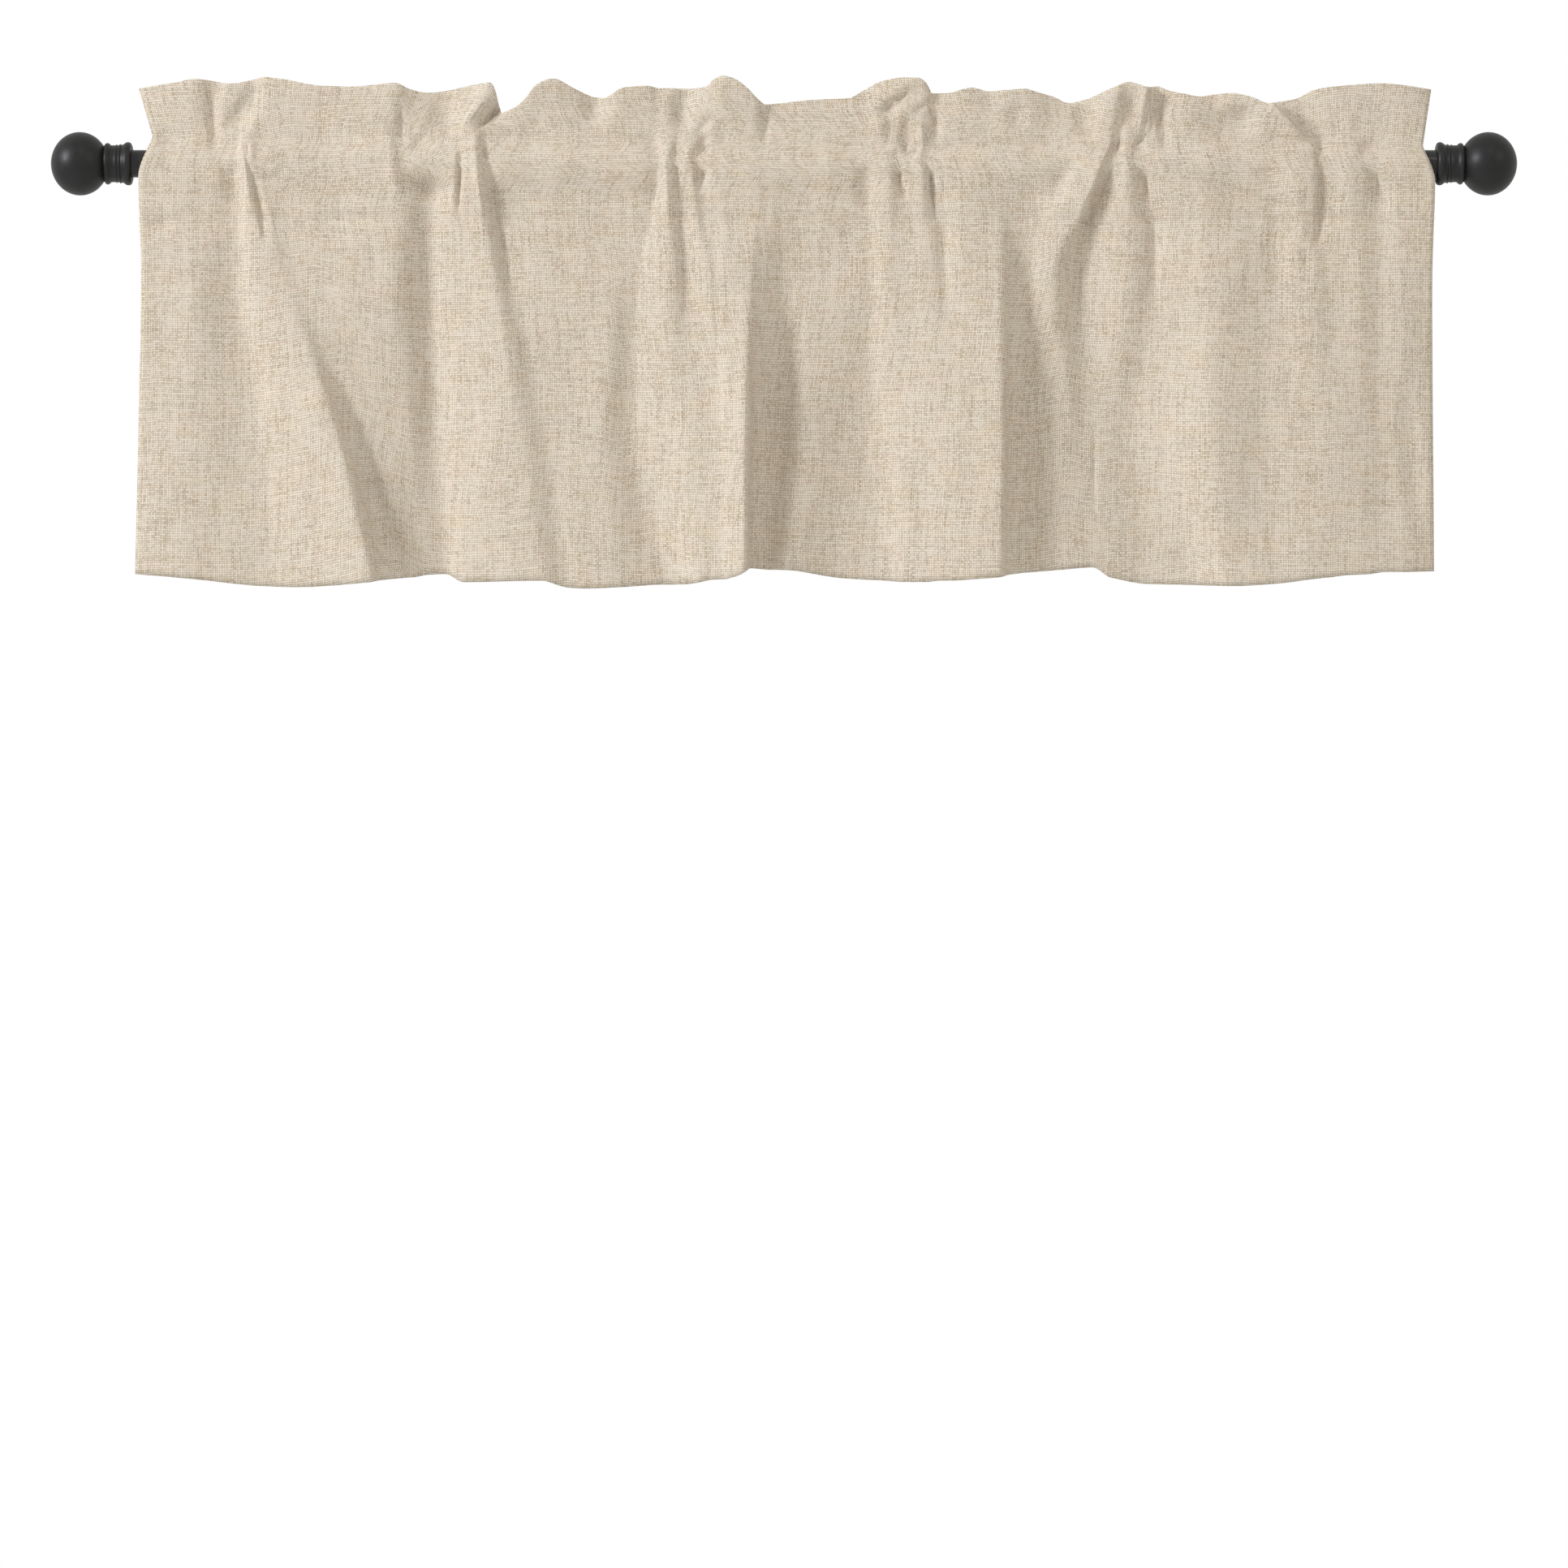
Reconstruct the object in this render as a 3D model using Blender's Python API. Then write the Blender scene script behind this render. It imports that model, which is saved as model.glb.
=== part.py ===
"""A valance gathered on its rod.

One panel of linen-look cloth hangs from a plain round rod with a turned ball finial on each end. The panel
has a rod pocket and a standing header, both made by folding its top edge to the back and sewing it down
along two lines, and a turned-up hem. The cloth is one closed solid in the true shape in which it hangs: a
single layer below the lower seam, then two layers round the rod, which meet at the upper seam, and two
layers again in the header.

Frame: the origin is on the rod's axis, half way along it. +X runs along the rod, to the right of someone
who looks at the front, -Y points into the room, and +Z is up. Tables and dimensions are in millimetres, and
the meshes are in metres. In the tables a depth is how far the cloth's face stands out from the rod's axis
into the room, so it is minus Y, and a height is Z.
"""
import math
from collections import namedtuple

import bmesh
import bpy
import numpy as np

MM = 0.001

# Rod and finials
ROD_RADIUS = 12.7
ROD_HALF_LENGTH = 624.0
ROD_SIDES = 32
FINIAL_SIDES = 32
FIT_GAP = 0.3            # between the rod and each finial
BALL_CENTRE = 651.5      # along the rod, from its middle
BALL_HALF_WIDTH = 26.7   # along the rod: the ball is a little flattened
BALL_RADIUS = 29.2
BALL_STEPS = 9
FINIAL_FACE = 603.3      # where the collar starts, from the middle of the rod

# Cloth
CLOTH = 1.2              # thickness of one layer
HEM_BAND = 38.0          # height of the turned-up hem
HEM_LEDGE = 1.5          # height over which the hem's second layer ends
HEADER_GAP = 1.4         # between the two layers of the header, half way up
ROD_CLEARANCE = 1.1      # between the rod and the pocket's layers
COLUMN_SPACING = 23.0

# Nominal heights of the levels in the table of folds
UPPER_SEAM = 22.0
ROD_FOOT = -15.0
LOWER_SEAM = -51.0
UPPER_SKIRT = -110.0
MIDDLE_SKIRT = -240.0
HEM = -385.0
SKIRT_HEIGHTS = (-78.0, -110.0, -150.0, -200.0, -255.0, -310.0)   # rows of points between seam and hem
HEADER_ROWS = 3

# Depth at the upper seam, where the stitching flattens the folds of the pocket
SEAM_DEPTH = 3.0         # where the cloth at the rod stands at the mean depth
ROD_MEAN_DEPTH = 12.0
SEAM_RELIEF = 0.25       # share of a fold's relief that is left at the seam
SWELL_HEIGHT = 8.0       # this high a fold has most of its relief again
SWELL_SHARE = 0.72
SHARPEST_MITRE = 0.6     # cosine that limits how far a layer's back runs out at a sharp fold

# One row for each crest, valley or foot of a fold, from the left end to the right end: where it lies along
# the rod at five levels, how deep the face stands at four of them, and the height of the hem there.
Fold = namedtuple("Fold", "name x_seam x_rod x_upper x_middle x_hem d_rod d_upper d_middle d_hem hem")
FOLDS = [
    Fold("left edge",         -583, -596, -594, -596, -599, 12, 6, 10, 12, -380),
    Fold("left panel",        -548, -552, -548, -550, -553, 12, 9, 11, 14, -384),
    Fold("first valley",      -512, -508, -507, -494, -480, 8, -1, 0, 3, -392),
    Fold("first ridge",       -500, -493, -462, -418, -396, 24, 15, 27, 34, -388),
    Fold("first foot",        -486, -478, -440, -382, -356, 8, 9, -2, -6, -383),
    Fold("second panel",      -420, -415, -408, -368, -348, 8, 11, -5, -8, -382),
    Fold("second edge",       -363, -356, -366, -350, -337, 18, 13, -7, -9, -380),
    Fold("second valley",     -345, -338, -326, -323, -320, 5, -8, -12, -9, -379),
    Fold("lobe start",        -318, -317, -308, -308, -309, 14, 3, -2, 3, -387),
    Fold("second ridge",      -284, -281, -275, -262, -238, 25, 20, 21, 18, -386),
    Fold("third valley",      -270, -262, -248, -212, -200, 2, -4, -5, -5, -392),
    Fold("third panel",       -245, -240, -222, -185, -172, 8, 7, -1, 0, -393),
    Fold("third crest",       -200, -195, -168, -172, -150, 8, 9, 1, 2, -392),
    Fold("fourth valley",     -150, -145, -137, -138, -112, 5, -3, -9, -6, -389),
    Fold("fourth ridge",      -108, -108, -106, -88, -78, 23, 14, 12, 12, -388),
    Fold("left dart",         -101, -97, -92, -78, -70, 7, 6, 12, 13, -386),
    Fold("dart ridge",        -91, -89, -78, -66, -60, 20, 14, 14, 14, -385),
    Fold("right dart",        -79, -79, -64, -60, -54, 7, 12, 15, 17, -385),
    Fold("middle shoulder",   -66, -64, -54, -52, -50, 17, 17, 23, 23, -384),
    Fold("middle ridge",      -32, -30, -37, -37, -40, 13, 19, 31, 28, -379),
    Fold("middle wall",       -18, -16, -28, -29, -31, 9, 1, -19, -10, -374),
    Fold("middle recess",     0, 0, -2, -5, -14, 8, -6, -25, -14, -375),
    Fold("recess edge",       20, 20, 20, 20, 4, 8, -2, -15, -11, -376),
    Fold("fifth panel",       60, 58, 66, 70, 62, 6, 2, -17, -10, -383),
    Fold("fifth valley",      80, 74, 82, 84, 82, 8, 2, -14, -7, -385),
    Fold("fifth dart ridge",  105, 98, 92, 110, 112, 23, 9, -4, -2, -387),
    Fold("fifth dart",        112, 108, 104, 124, 125, 7, 8, 0, 0, -387),
    Fold("sixth dart ridge",  128, 126, 131, 138, 140, 24, 16, 6, 4, -386),
    Fold("sixth dart",        133, 135, 140, 148, 150, 6, 12, 9, 6, -386),
    Fold("sixth panel",       150, 152, 160, 170, 168, 12, 17, 17, 12, -385),
    Fold("sixth ridge",       195, 195, 197, 197, 190, 8, 21, 25, 20, -383),
    Fold("sixth foot",        226, 226, 228, 246, 238, 7, -2, -14, -10, -378),
    Fold("slanting ridge",    306, 291, 246, 264, 262, 27, 4, -15, -8, -375),
    Fold("slanting valley",   312, 301, 268, 281, 285, 4, -10, -18, -9, -373),
    Fold("narrow ridge",      322, 319, 316, 298, 294, 26, 10, -14, -3, -382),
    Fold("wedge valley",      331, 333, 338, 322, 335, 4, 2, -17, -12, -388),
    Fold("wedge foot",        344, 343, 352, 340, 352, 14, 7, -11, -12, -389),
    Fold("seventh ridge",     400, 395, 402, 404, 415, 10, 20, 22, 16, -391),
    Fold("shallow dip",       430, 432, 436, 440, 448, 8, 13, 14, 13, -389),
    Fold("right ridge",       487, 484, 484, 490, 505, 25, 18, 19, 15, -383),
    Fold("right valley",      499, 497, 500, 512, 520, 6, 8, 12, 12, -381),
    Fold("eighth ridge",      522, 522, 528, 535, 540, 18, 14, 11, 11, -380),
    Fold("eighth valley",     545, 546, 550, 552, 556, 8, 8, 8, 10, -378),
    Fold("right panel",       568, 570, 568, 566, 570, 14, 10, 7, 10, -378),
    Fold("right edge",        590, 601, 599, 600, 601, 12, 2, -2, 4, -377),
]

# One row for each rise, dip or turned lobe of the header's top edge: the place on the upper seam that it
# stands over, and its own place, height and depth.
Rim = namedtuple("Rim", "x_seam x height depth")
RIM = [
    Rim(-583, -596, 68, 2), Rim(-560, -560, 73, 5), Rim(-545, -541, 76, 8),
    Rim(-515, -516, 72, -4), Rim(-500, -498, 73, 3), Rim(-492, -484, 75, 6),
    Rim(-484, -479, 78, 2), Rim(-465, -462, 76, 3), Rim(-430, -429, 70, 6),
    Rim(-400, -400, 69, 5), Rim(-366, -360, 72, 8), Rim(-349, -346, 67, 1),
    Rim(-330, -329, 64, -2), Rim(-315, -311, 66, 2), Rim(-306, -290, 70, 11),
    Rim(-299, -271, 72, 18), Rim(-294, -266, 63, 13), Rim(-289, -264, 52, -1),
    Rim(-278, -261, 45, 2), Rim(-262, -247, 51, 5), Rim(-250, -237, 60, 8),
    Rim(-241, -229, 70, 10), Rim(-222, -213, 76, 9), Rim(-198, -191, 66, 3),
    Rim(-179, -175, 60, -3), Rim(-168, -166, 59, 0), Rim(-152, -149, 68, 5),
    Rim(-138, -137, 70, 5), Rim(-122, -122, 68, -1), Rim(-110, -113, 68, 4),
    Rim(-100, -98, 68, -4), Rim(-84, -82, 68, 1), Rim(-76, -71, 69, 6),
    Rim(-70, -65, 75, 9), Rim(-60, -56, 78, 13), Rim(-50, -47, 76, 13),
    Rim(-38, -35, 68, 11), Rim(-27, -24, 57, 8), Rim(-18, -17, 53, 0),
    Rim(-4, -4, 54, 0), Rim(32, 32, 58, -3), Rim(58, 58, 59, -6),
    Rim(74, 71, 67, 0), Rim(90, 90, 74, 5), Rim(104, 110, 77, 8),
    Rim(112, 125, 76, 15), Rim(118, 132, 72, 17), Rim(123, 135, 65, 12),
    Rim(130, 130, 61, 0), Rim(140, 140, 63, 1), Rim(155, 155, 63, 4),
    Rim(174, 174, 68, 6), Rim(188, 188, 65, 2), Rim(208, 208, 66, 5),
    Rim(224, 224, 67, 5), Rim(235, 235, 64, 2), Rim(251, 251, 60, -3),
    Rim(262, 262, 55, -5), Rim(282, 282, 59, 1), Rim(295, 297, 65, 9),
    Rim(303, 307, 69, 8), Rim(310, 317, 73, 10), Rim(318, 327, 71, 15),
    Rim(325, 334, 62, 12), Rim(330, 331, 68, -4), Rim(340, 342, 70, -3),
    Rim(355, 355, 66, 1), Rim(372, 372, 62, 4), Rim(386, 386, 60, 2),
    Rim(395, 394, 63, 2), Rim(414, 412, 63, 5), Rim(436, 429, 60, 8),
    Rim(462, 445, 53, 13), Rim(480, 451, 52, 14), Rim(492, 448, 54, 0),
    Rim(502, 470, 59, -4), Rim(512, 492, 67, 1), Rim(528, 518, 70, 4),
    Rim(552, 551, 72, 5), Rim(575, 575, 70, 4), Rim(590, 598, 67, 0),
]

# The upper seam's height along the rod: it sags where the cloth is gathered.
SeamPoint = namedtuple("SeamPoint", "x height")
SEAM_POINTS = [
    SeamPoint(-590, 24), SeamPoint(-300, 25), SeamPoint(-100, 24), SeamPoint(0, 21), SeamPoint(105, 16),
    SeamPoint(132, 16), SeamPoint(200, 20), SeamPoint(318, 18), SeamPoint(450, 20), SeamPoint(600, 15),
]

# The collar of a finial, from its face outwards: distance along the rod from the rod's middle, and radius.
CollarPoint = namedtuple("CollarPoint", "along radius")
COLLAR = [
    CollarPoint(603.3, 17.8), CollarPoint(604.3, 19.2), CollarPoint(606.8, 20.0), CollarPoint(609.4, 19.1),
    CollarPoint(611.6, 17.9), CollarPoint(613.8, 17.7), CollarPoint(615.4, 17.0), CollarPoint(622.6, 17.0),
    CollarPoint(624.0, 18.5), CollarPoint(626.0, 19.2), CollarPoint(627.9, 18.4), CollarPoint(629.0, 16.4),
]


def monotone(knots, values, at):
    """Read a smooth curve through the values, one that never swings past them."""
    knots, values = np.asarray(knots, float), np.asarray(values, float)
    gap = np.diff(knots)
    slope = np.diff(values) / gap
    before, after = slope[:-1], slope[1:]
    same_way = before * after > 0
    near, far = 2 * gap[1:] + gap[:-1], gap[1:] + 2 * gap[:-1]
    mean = (near + far) / (near / np.where(same_way, before, 1) + far / np.where(same_way, after, 1))
    tangent = np.concatenate([slope[:1], np.where(same_way, mean, 0), slope[-1:]])
    i = np.clip(np.searchsorted(knots, at, side="right") - 1, 0, len(gap) - 1)
    s = np.clip((at - knots[i]) / gap[i], 0, 1)
    start = (1 + 2 * s) * (1 - s) ** 2 * values[i] + s * (1 - s) ** 2 * gap[i] * tangent[i]
    end = s * s * (3 - 2 * s) * values[i + 1] - s * s * (1 - s) * gap[i] * tangent[i + 1]
    return start + end


def fold_lines(height):
    """Place along the rod and depth of every row of the table of folds, at one height."""
    x_levels = -np.array([UPPER_SEAM, ROD_FOOT, UPPER_SKIRT, MIDDLE_SKIRT, HEM])
    depth_levels = -np.array([UPPER_SEAM, SWELL_HEIGHT, ROD_FOOT, UPPER_SKIRT, MIDDLE_SKIRT, HEM])
    x, depth = [], []
    for fold in FOLDS:
        x.append(monotone(x_levels, [fold.x_seam, fold.x_rod, fold.x_upper, fold.x_middle, fold.x_hem], -height))
        seam = SEAM_DEPTH + SEAM_RELIEF * (fold.d_rod - ROD_MEAN_DEPTH)
        swell = seam + SWELL_SHARE * (fold.d_rod - seam)
        depths = [seam, swell, fold.d_rod, fold.d_upper, fold.d_middle, fold.d_hem]
        depth.append(monotone(depth_levels, depths, -height))
    return np.array(x), np.array(depth)


def cloth_row(height, places):
    """Points of the sheet along one height. A place is a row number in the table of folds, or between rows."""
    x, depth = fold_lines(height)
    run = np.concatenate([[0], np.cumsum(np.hypot(np.diff(x), np.diff(depth)))])
    row = np.clip(places.astype(int), 0, len(x) - 2)
    at = run[row] + (places - row) * (run[row + 1] - run[row])
    return monotone(run, x, at), monotone(run, depth, at)


def rim_places():
    """The place of every row of the table of the rim, found where it stands on the upper seam."""
    dense = np.linspace(0, len(FOLDS) - 1, 100 * len(FOLDS))
    return np.interp([rim.x_seam for rim in RIM], cloth_row(UPPER_SEAM, dense)[0], dense)


def column_places(spacing):
    """Places of the columns: each stretch between two folds is cut by its longest run at any level."""
    edges = np.arange(len(FOLDS))
    runs = []
    for height in (UPPER_SEAM, ROD_FOOT, LOWER_SEAM, UPPER_SKIRT, MIDDLE_SKIRT, HEM):
        x, depth = fold_lines(height)
        runs.append(np.hypot(np.diff(x), np.diff(depth)))
    x, height, depth = np.array([rim[1:] for rim in RIM], float).T
    rim_run = np.concatenate([[0], np.cumsum(np.hypot(np.diff(x), np.diff(depth)))])
    runs.append(np.diff(np.interp(edges, rim_places(), rim_run)))
    places = []
    for edge, run in zip(edges, np.max(runs, axis=0)):
        steps = max(1, round(run / spacing))
        places += [edge + step / steps for step in range(steps)]
    return np.array(places + [edges[-1]])


def skirt_rows(places, heights):
    """Face of the skirt, from the hem up to the lower seam."""
    hem = monotone(np.arange(len(FOLDS)), [fold.hem for fold in FOLDS], places)
    rows = []
    for height in heights:
        x, depth = cloth_row(height, places)
        drop = (height - LOWER_SEAM) / (HEM - LOWER_SEAM)
        rows.append(np.stack([x, depth, LOWER_SEAM + drop * (hem - LOWER_SEAM)], 1))
    return np.array(rows)


def taut_path(low, high, radius, cuts):
    """Depths and heights of a layer pulled from low to high round the front of a bar, for every column.

    cuts says how many steps lie below the bar, round it and above it."""
    low_angle = np.arctan2(low[1], low[0]) + np.arccos(radius / np.hypot(*low))
    high_angle = np.arctan2(high[1], high[0]) - np.arccos(radius / np.hypot(*high))
    meet = radius * np.array([np.cos(low_angle), np.sin(low_angle)])
    leave = radius * np.array([np.cos(high_angle), np.sin(high_angle)])
    below, around, above = (np.arange(count) / count for count in cuts)
    rows = [low + (meet - low) * f for f in below]
    for f in around:
        angle = low_angle + (high_angle - low_angle) * f
        rows.append(radius * np.array([np.cos(angle), np.sin(angle)]))
    rows += [leave + (high - leave) * f for f in above]
    return np.array(rows + [high])


def pocket_faces(places, lower, upper):
    """Outer faces of the rod pocket's front and back layers, from the lower seam up to the upper seam."""
    radius = ROD_RADIUS + ROD_CLEARANCE + CLOTH
    levels = np.arange(LOWER_SEAM, UPPER_SEAM + 1, 2.5)
    grid = np.array([cloth_row(level, places) for level in levels])
    front = taut_path(lower[:, 1:].T, upper[:, 1:].T, radius, (2, 3, 2))
    low_back = lower[:, 1:].T * np.array([[-1], [1]]) + np.array([[2 * CLOTH], [0]])
    high_back = upper[:, 1:].T * np.array([[-1], [1]]) + np.array([[2 * CLOTH], [0]])
    back = taut_path(low_back, high_back, radius, (2, 4, 1))
    faces = []
    for side, path in ((1, front), (-1, back)):
        face = np.zeros((len(path), len(places), 3))
        for k in range(len(places)):
            height = np.clip(path[:, 1, k], LOWER_SEAM, UPPER_SEAM)
            face[:, k, 0] = np.interp(height, levels, grid[:, 0, k])
            fold = np.interp(height, levels, grid[:, 1, k])
            fold[[0, -1]] = path[[0, -1], 0, k]
            face[:, k, 1] = np.maximum(path[:, 0, k], fold) if side == 1 else -path[:, 0, k]
            face[:, k, 2] = path[:, 1, k]
        face[-1, :, 0] = upper[:, 0]
        faces.append(face)
    return faces


def header_rows(places, seam):
    """Face of the header, from the upper seam up to the rim."""
    at = rim_places()
    x, height, depth = (monotone(at, column, places) for column in np.array([rim[1:] for rim in RIM], float).T)
    rim = np.stack([x, depth, height], 1)
    return np.array([seam + (rim - seam) * step / HEADER_ROWS for step in range(HEADER_ROWS + 1)])


def behind(face, thickness):
    """The other side of a layer: each point of its face moved back along the normal, mitred at the folds."""
    across = np.diff(face, axis=1)
    across /= np.linalg.norm(across, axis=2, keepdims=True)
    up = np.gradient(face, axis=0)
    normal = np.cross(np.concatenate([across[:, :1], across], axis=1), up)
    other = np.cross(np.concatenate([across, across[:, -1:]], axis=1), up)
    normal /= np.linalg.norm(normal, axis=2, keepdims=True)
    other /= np.linalg.norm(other, axis=2, keepdims=True)
    middle = normal + other
    middle /= np.linalg.norm(middle, axis=2, keepdims=True)
    mitre = 1 / np.clip((middle * normal).sum(2, keepdims=True), SHARPEST_MITRE, 1)
    return face + middle * mitre * np.reshape(thickness, (-1, 1, 1))


def wall_triangles(rising, falling, columns):
    """Triangles between the rails of a closed loop. Its rails rise one after another, then fall.

    The diagonals run the same way in space on both sides of a layer, so that its thickness stays even."""
    loop = rising + falling
    triangles = []
    for k, rail in enumerate(loop):
        a, b = rail * columns, loop[(k + 1) % len(loop)] * columns
        for c in range(columns - 1):
            if k < len(rising):
                triangles += [(a + c, a + c + 1, b + c + 1), (a + c, b + c + 1, b + c)]
            else:
                triangles += [(a + c, a + c + 1, b + c), (a + c + 1, b + c + 1, b + c)]
    return triangles


def end_faces(outer, inner, column, columns):
    """Faces that close a layer at one end of the cloth, between matching rails of its two sides."""
    faces = []
    for k in range(len(outer) - 1):
        corners = [outer[k], inner[k], inner[k + 1], outer[k + 1]]
        kept = [rail * columns + column for k, rail in enumerate(corners) if rail not in corners[:k]]
        faces.append(kept)
    return faces


def cloth_mesh(spacing):
    """Points and faces of the whole cloth: one closed surface with the pocket and the header as tunnels."""
    places = column_places(spacing)
    columns = len(places)
    rails = []

    def lay(rows):
        rails.extend(rows)
        return list(range(len(rails) - len(rows), len(rails)))

    up, back = np.array([0, 0, 1.0]), np.array([0, -1.0, 0])
    ledge = HEM + HEM_BAND
    heights = (HEM, ledge, ledge + HEM_LEDGE) + SKIRT_HEIGHTS[::-1] + (LOWER_SEAM,)
    skirt_face = skirt_rows(places, heights)
    skirt_back_face = behind(skirt_face, [CLOTH * (2 if height <= ledge else 1) for height in heights])

    seam_x, seam_depth = cloth_row(UPPER_SEAM, places)
    seam_height = np.interp(seam_x, *np.array(SEAM_POINTS, float).T)
    seam_line = np.stack([seam_x, seam_depth, seam_height], 1)
    pocket_face, pocket_back_face = pocket_faces(places, skirt_face[-1], seam_line)
    header_face = header_rows(places, seam_line)
    swell = HEADER_GAP * np.sin(np.linspace(0, math.pi, HEADER_ROWS + 1))
    header_back_face = behind(header_face, 2 * CLOTH + swell)
    crown_line = (header_face[-1] + header_back_face[-1]) / 2
    header_face[-1] -= CLOTH / 2 * up
    header_back_face[-1] -= CLOTH / 2 * up

    skirt = lay(skirt_face)
    skirt_back = lay(list(skirt_back_face[:-1]) + [pocket_back_face[0]])
    pocket = lay(pocket_face[1:-1])
    pocket_inside = lay(behind(pocket_face, [CLOTH] * len(pocket_face))[1:-1])
    pocket_back = lay(pocket_back_face[1:-1])
    pocket_back_inside = lay(behind(pocket_back_face, [-CLOTH] * len(pocket_back_face))[1:-1])
    pocket_floor = lay([skirt_face[-1] + CLOTH * (back + up)])
    pocket_roof = lay([seam_line + CLOTH * (back - up)])
    seam = lay([seam_line])
    seam_back = lay([pocket_back_face[-1]])
    header = lay(header_face[1:])
    header_back = lay(header_back_face[1:])
    header_inside = lay(behind(header_face, [CLOTH] * len(swell))[1:-1])
    header_back_inside = lay(behind(header_face, CLOTH + swell)[1:-1])
    header_floor = lay([seam_line + CLOTH * (back + up)])
    crown = lay([crown_line])
    header_roof = lay([crown_line - 1.5 * CLOTH * up])

    faces = wall_triangles(skirt + pocket + seam + header + crown,
                           header_back[::-1] + seam_back + pocket_back[::-1] + skirt_back[::-1], columns)
    faces += wall_triangles(pocket_floor + pocket_back_inside, pocket_roof + pocket_inside[::-1], columns)
    faces += wall_triangles(header_floor + header_back_inside, header_roof + header_inside[::-1], columns)
    layers = [
        (skirt, skirt_back),
        (skirt[-1:] + pocket + seam, pocket_floor + pocket_inside + pocket_roof),
        (skirt_back[-1:] + pocket_back + seam_back, pocket_floor + pocket_back_inside + pocket_roof),
        (skirt[-1:] * 2, pocket_floor + skirt_back[-1:]),
        (seam + seam_back, pocket_roof + pocket_roof),
        (seam + seam_back, header_floor + header_floor),
        (seam + header + crown, header_floor + header_inside + header_roof * 2),
        (seam_back + header_back + crown, header_floor + header_back_inside + header_roof * 2),
    ]
    for column in (0, columns - 1):
        for outer, inner in layers:
            faces += end_faces(outer, inner, column, columns)
    points = np.concatenate(rails) * MM
    return np.stack([points[:, 0], -points[:, 1], points[:, 2]], 1), faces


def new_object(name, mesh, color, roughness, metallic=0.0):
    """Put a mesh in the scene under its node's name, with its own plain material."""
    material = bpy.data.materials.new(name)
    material.use_nodes = True
    shader = material.node_tree.nodes["Principled BSDF"]
    shader.inputs["Base Color"].default_value = (*color, 1)
    shader.inputs["Roughness"].default_value = roughness
    shader.inputs["Metallic"].default_value = metallic
    mesh.materials.append(material)
    made = bpy.data.objects.new(name, mesh)
    bpy.context.collection.objects.link(made)
    return made


def make_cloth():
    """The panel: skirt with its hem, rod pocket and header in one piece."""
    points, faces = cloth_mesh(COLUMN_SPACING)
    mesh = bpy.data.meshes.new("valance_cloth")
    mesh.from_pydata(points.tolist(), [], faces)
    work = bmesh.new()
    work.from_mesh(mesh)
    bmesh.ops.recalc_face_normals(work, faces=work.faces)
    work.to_mesh(mesh)
    work.free()
    mesh.shade_smooth()
    mesh.set_sharp_from_angle(angle=math.radians(60))
    new_object("valance_cloth", mesh, color=(0.61, 0.53, 0.42), roughness=0.9)


def turned_mesh(name, profile, sides):
    """A solid turned about the X axis. The profile starts and ends on the axis."""
    work = bmesh.new()
    rings = []
    for along, radius in profile[1:-1]:
        ring = []
        for k in range(sides):
            angle = 2 * math.pi * k / sides
            ring.append(work.verts.new((along * MM, radius * math.cos(angle) * MM, radius * math.sin(angle) * MM)))
        rings.append(ring)
    for ring, following in zip(rings, rings[1:]):
        for k in range(sides):
            work.faces.new((ring[k], ring[k - 1], following[k - 1], following[k]))
    for ring, (along, _) in ((rings[0], profile[0]), (rings[-1], profile[-1])):
        pole = work.verts.new((along * MM, 0, 0))
        for k in range(sides):
            work.faces.new((pole, ring[k - 1], ring[k]))
    bmesh.ops.recalc_face_normals(work, faces=work.faces)
    mesh = bpy.data.meshes.new(name)
    work.to_mesh(mesh)
    work.free()
    mesh.shade_smooth()
    mesh.set_sharp_from_angle(angle=math.radians(40))
    return mesh


def make_rod():
    """The plain round rod. Its ends lie inside the finials' collars."""
    end = ROD_HALF_LENGTH
    profile = [(-end, 0), (-end, ROD_RADIUS), (end, ROD_RADIUS), (end, 0)]
    mesh = turned_mesh("curtain_rod", profile, ROD_SIDES)
    new_object("curtain_rod", mesh, color=(0.02, 0.02, 0.022), roughness=0.35, metallic=0.6)


def finial_profile():
    """Bore for the rod's end, collar, then the ball, from the inside of the bore to the outer pole."""
    bore, bore_end = ROD_RADIUS + FIT_GAP, ROD_HALF_LENGTH + FIT_GAP
    start = math.acos((BALL_CENTRE - COLLAR[-1].along) / BALL_HALF_WIDTH)
    ball = []
    for k in range(1, BALL_STEPS):
        angle = start + (math.pi - start) * k / BALL_STEPS
        ball.append((BALL_CENTRE - BALL_HALF_WIDTH * math.cos(angle), BALL_RADIUS * math.sin(angle)))
    collar = [(point.along, point.radius) for point in COLLAR]
    pole = (BALL_CENTRE + BALL_HALF_WIDTH, 0)
    return [(bore_end, 0), (bore_end, bore), (FINIAL_FACE, bore)] + collar + ball + [pole]


def make_finials():
    """A ball on a ringed collar for each end of the rod, the left one the mirror image of the right one."""
    for name, side in (("finial_left", -1), ("finial_right", 1)):
        profile = [(side * along, radius) for along, radius in finial_profile()]
        mesh = turned_mesh(name, profile, FINIAL_SIDES)
        new_object(name, mesh, color=(0.03, 0.03, 0.03), roughness=0.5)


for old in list(bpy.data.objects):
    bpy.data.objects.remove(old)
make_cloth()
make_rod()
make_finials()
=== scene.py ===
# %% [markdown]
# # A linen-look valance on its rod
#
# A valance is a short curtain. This one is a single panel of cloth: its top edge is folded to the back and
# sewn down along two lines, so that the rod slips between the two layers and a standing ruffle, the header,
# is left above it. The lesson loads the measured solids of the part as a fixed frame, and then makes the
# looks around them: the thin cloth with all its creases, its weave, its stitching, and the black rod.

# %% Load the frame
import math
from collections import namedtuple

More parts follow.
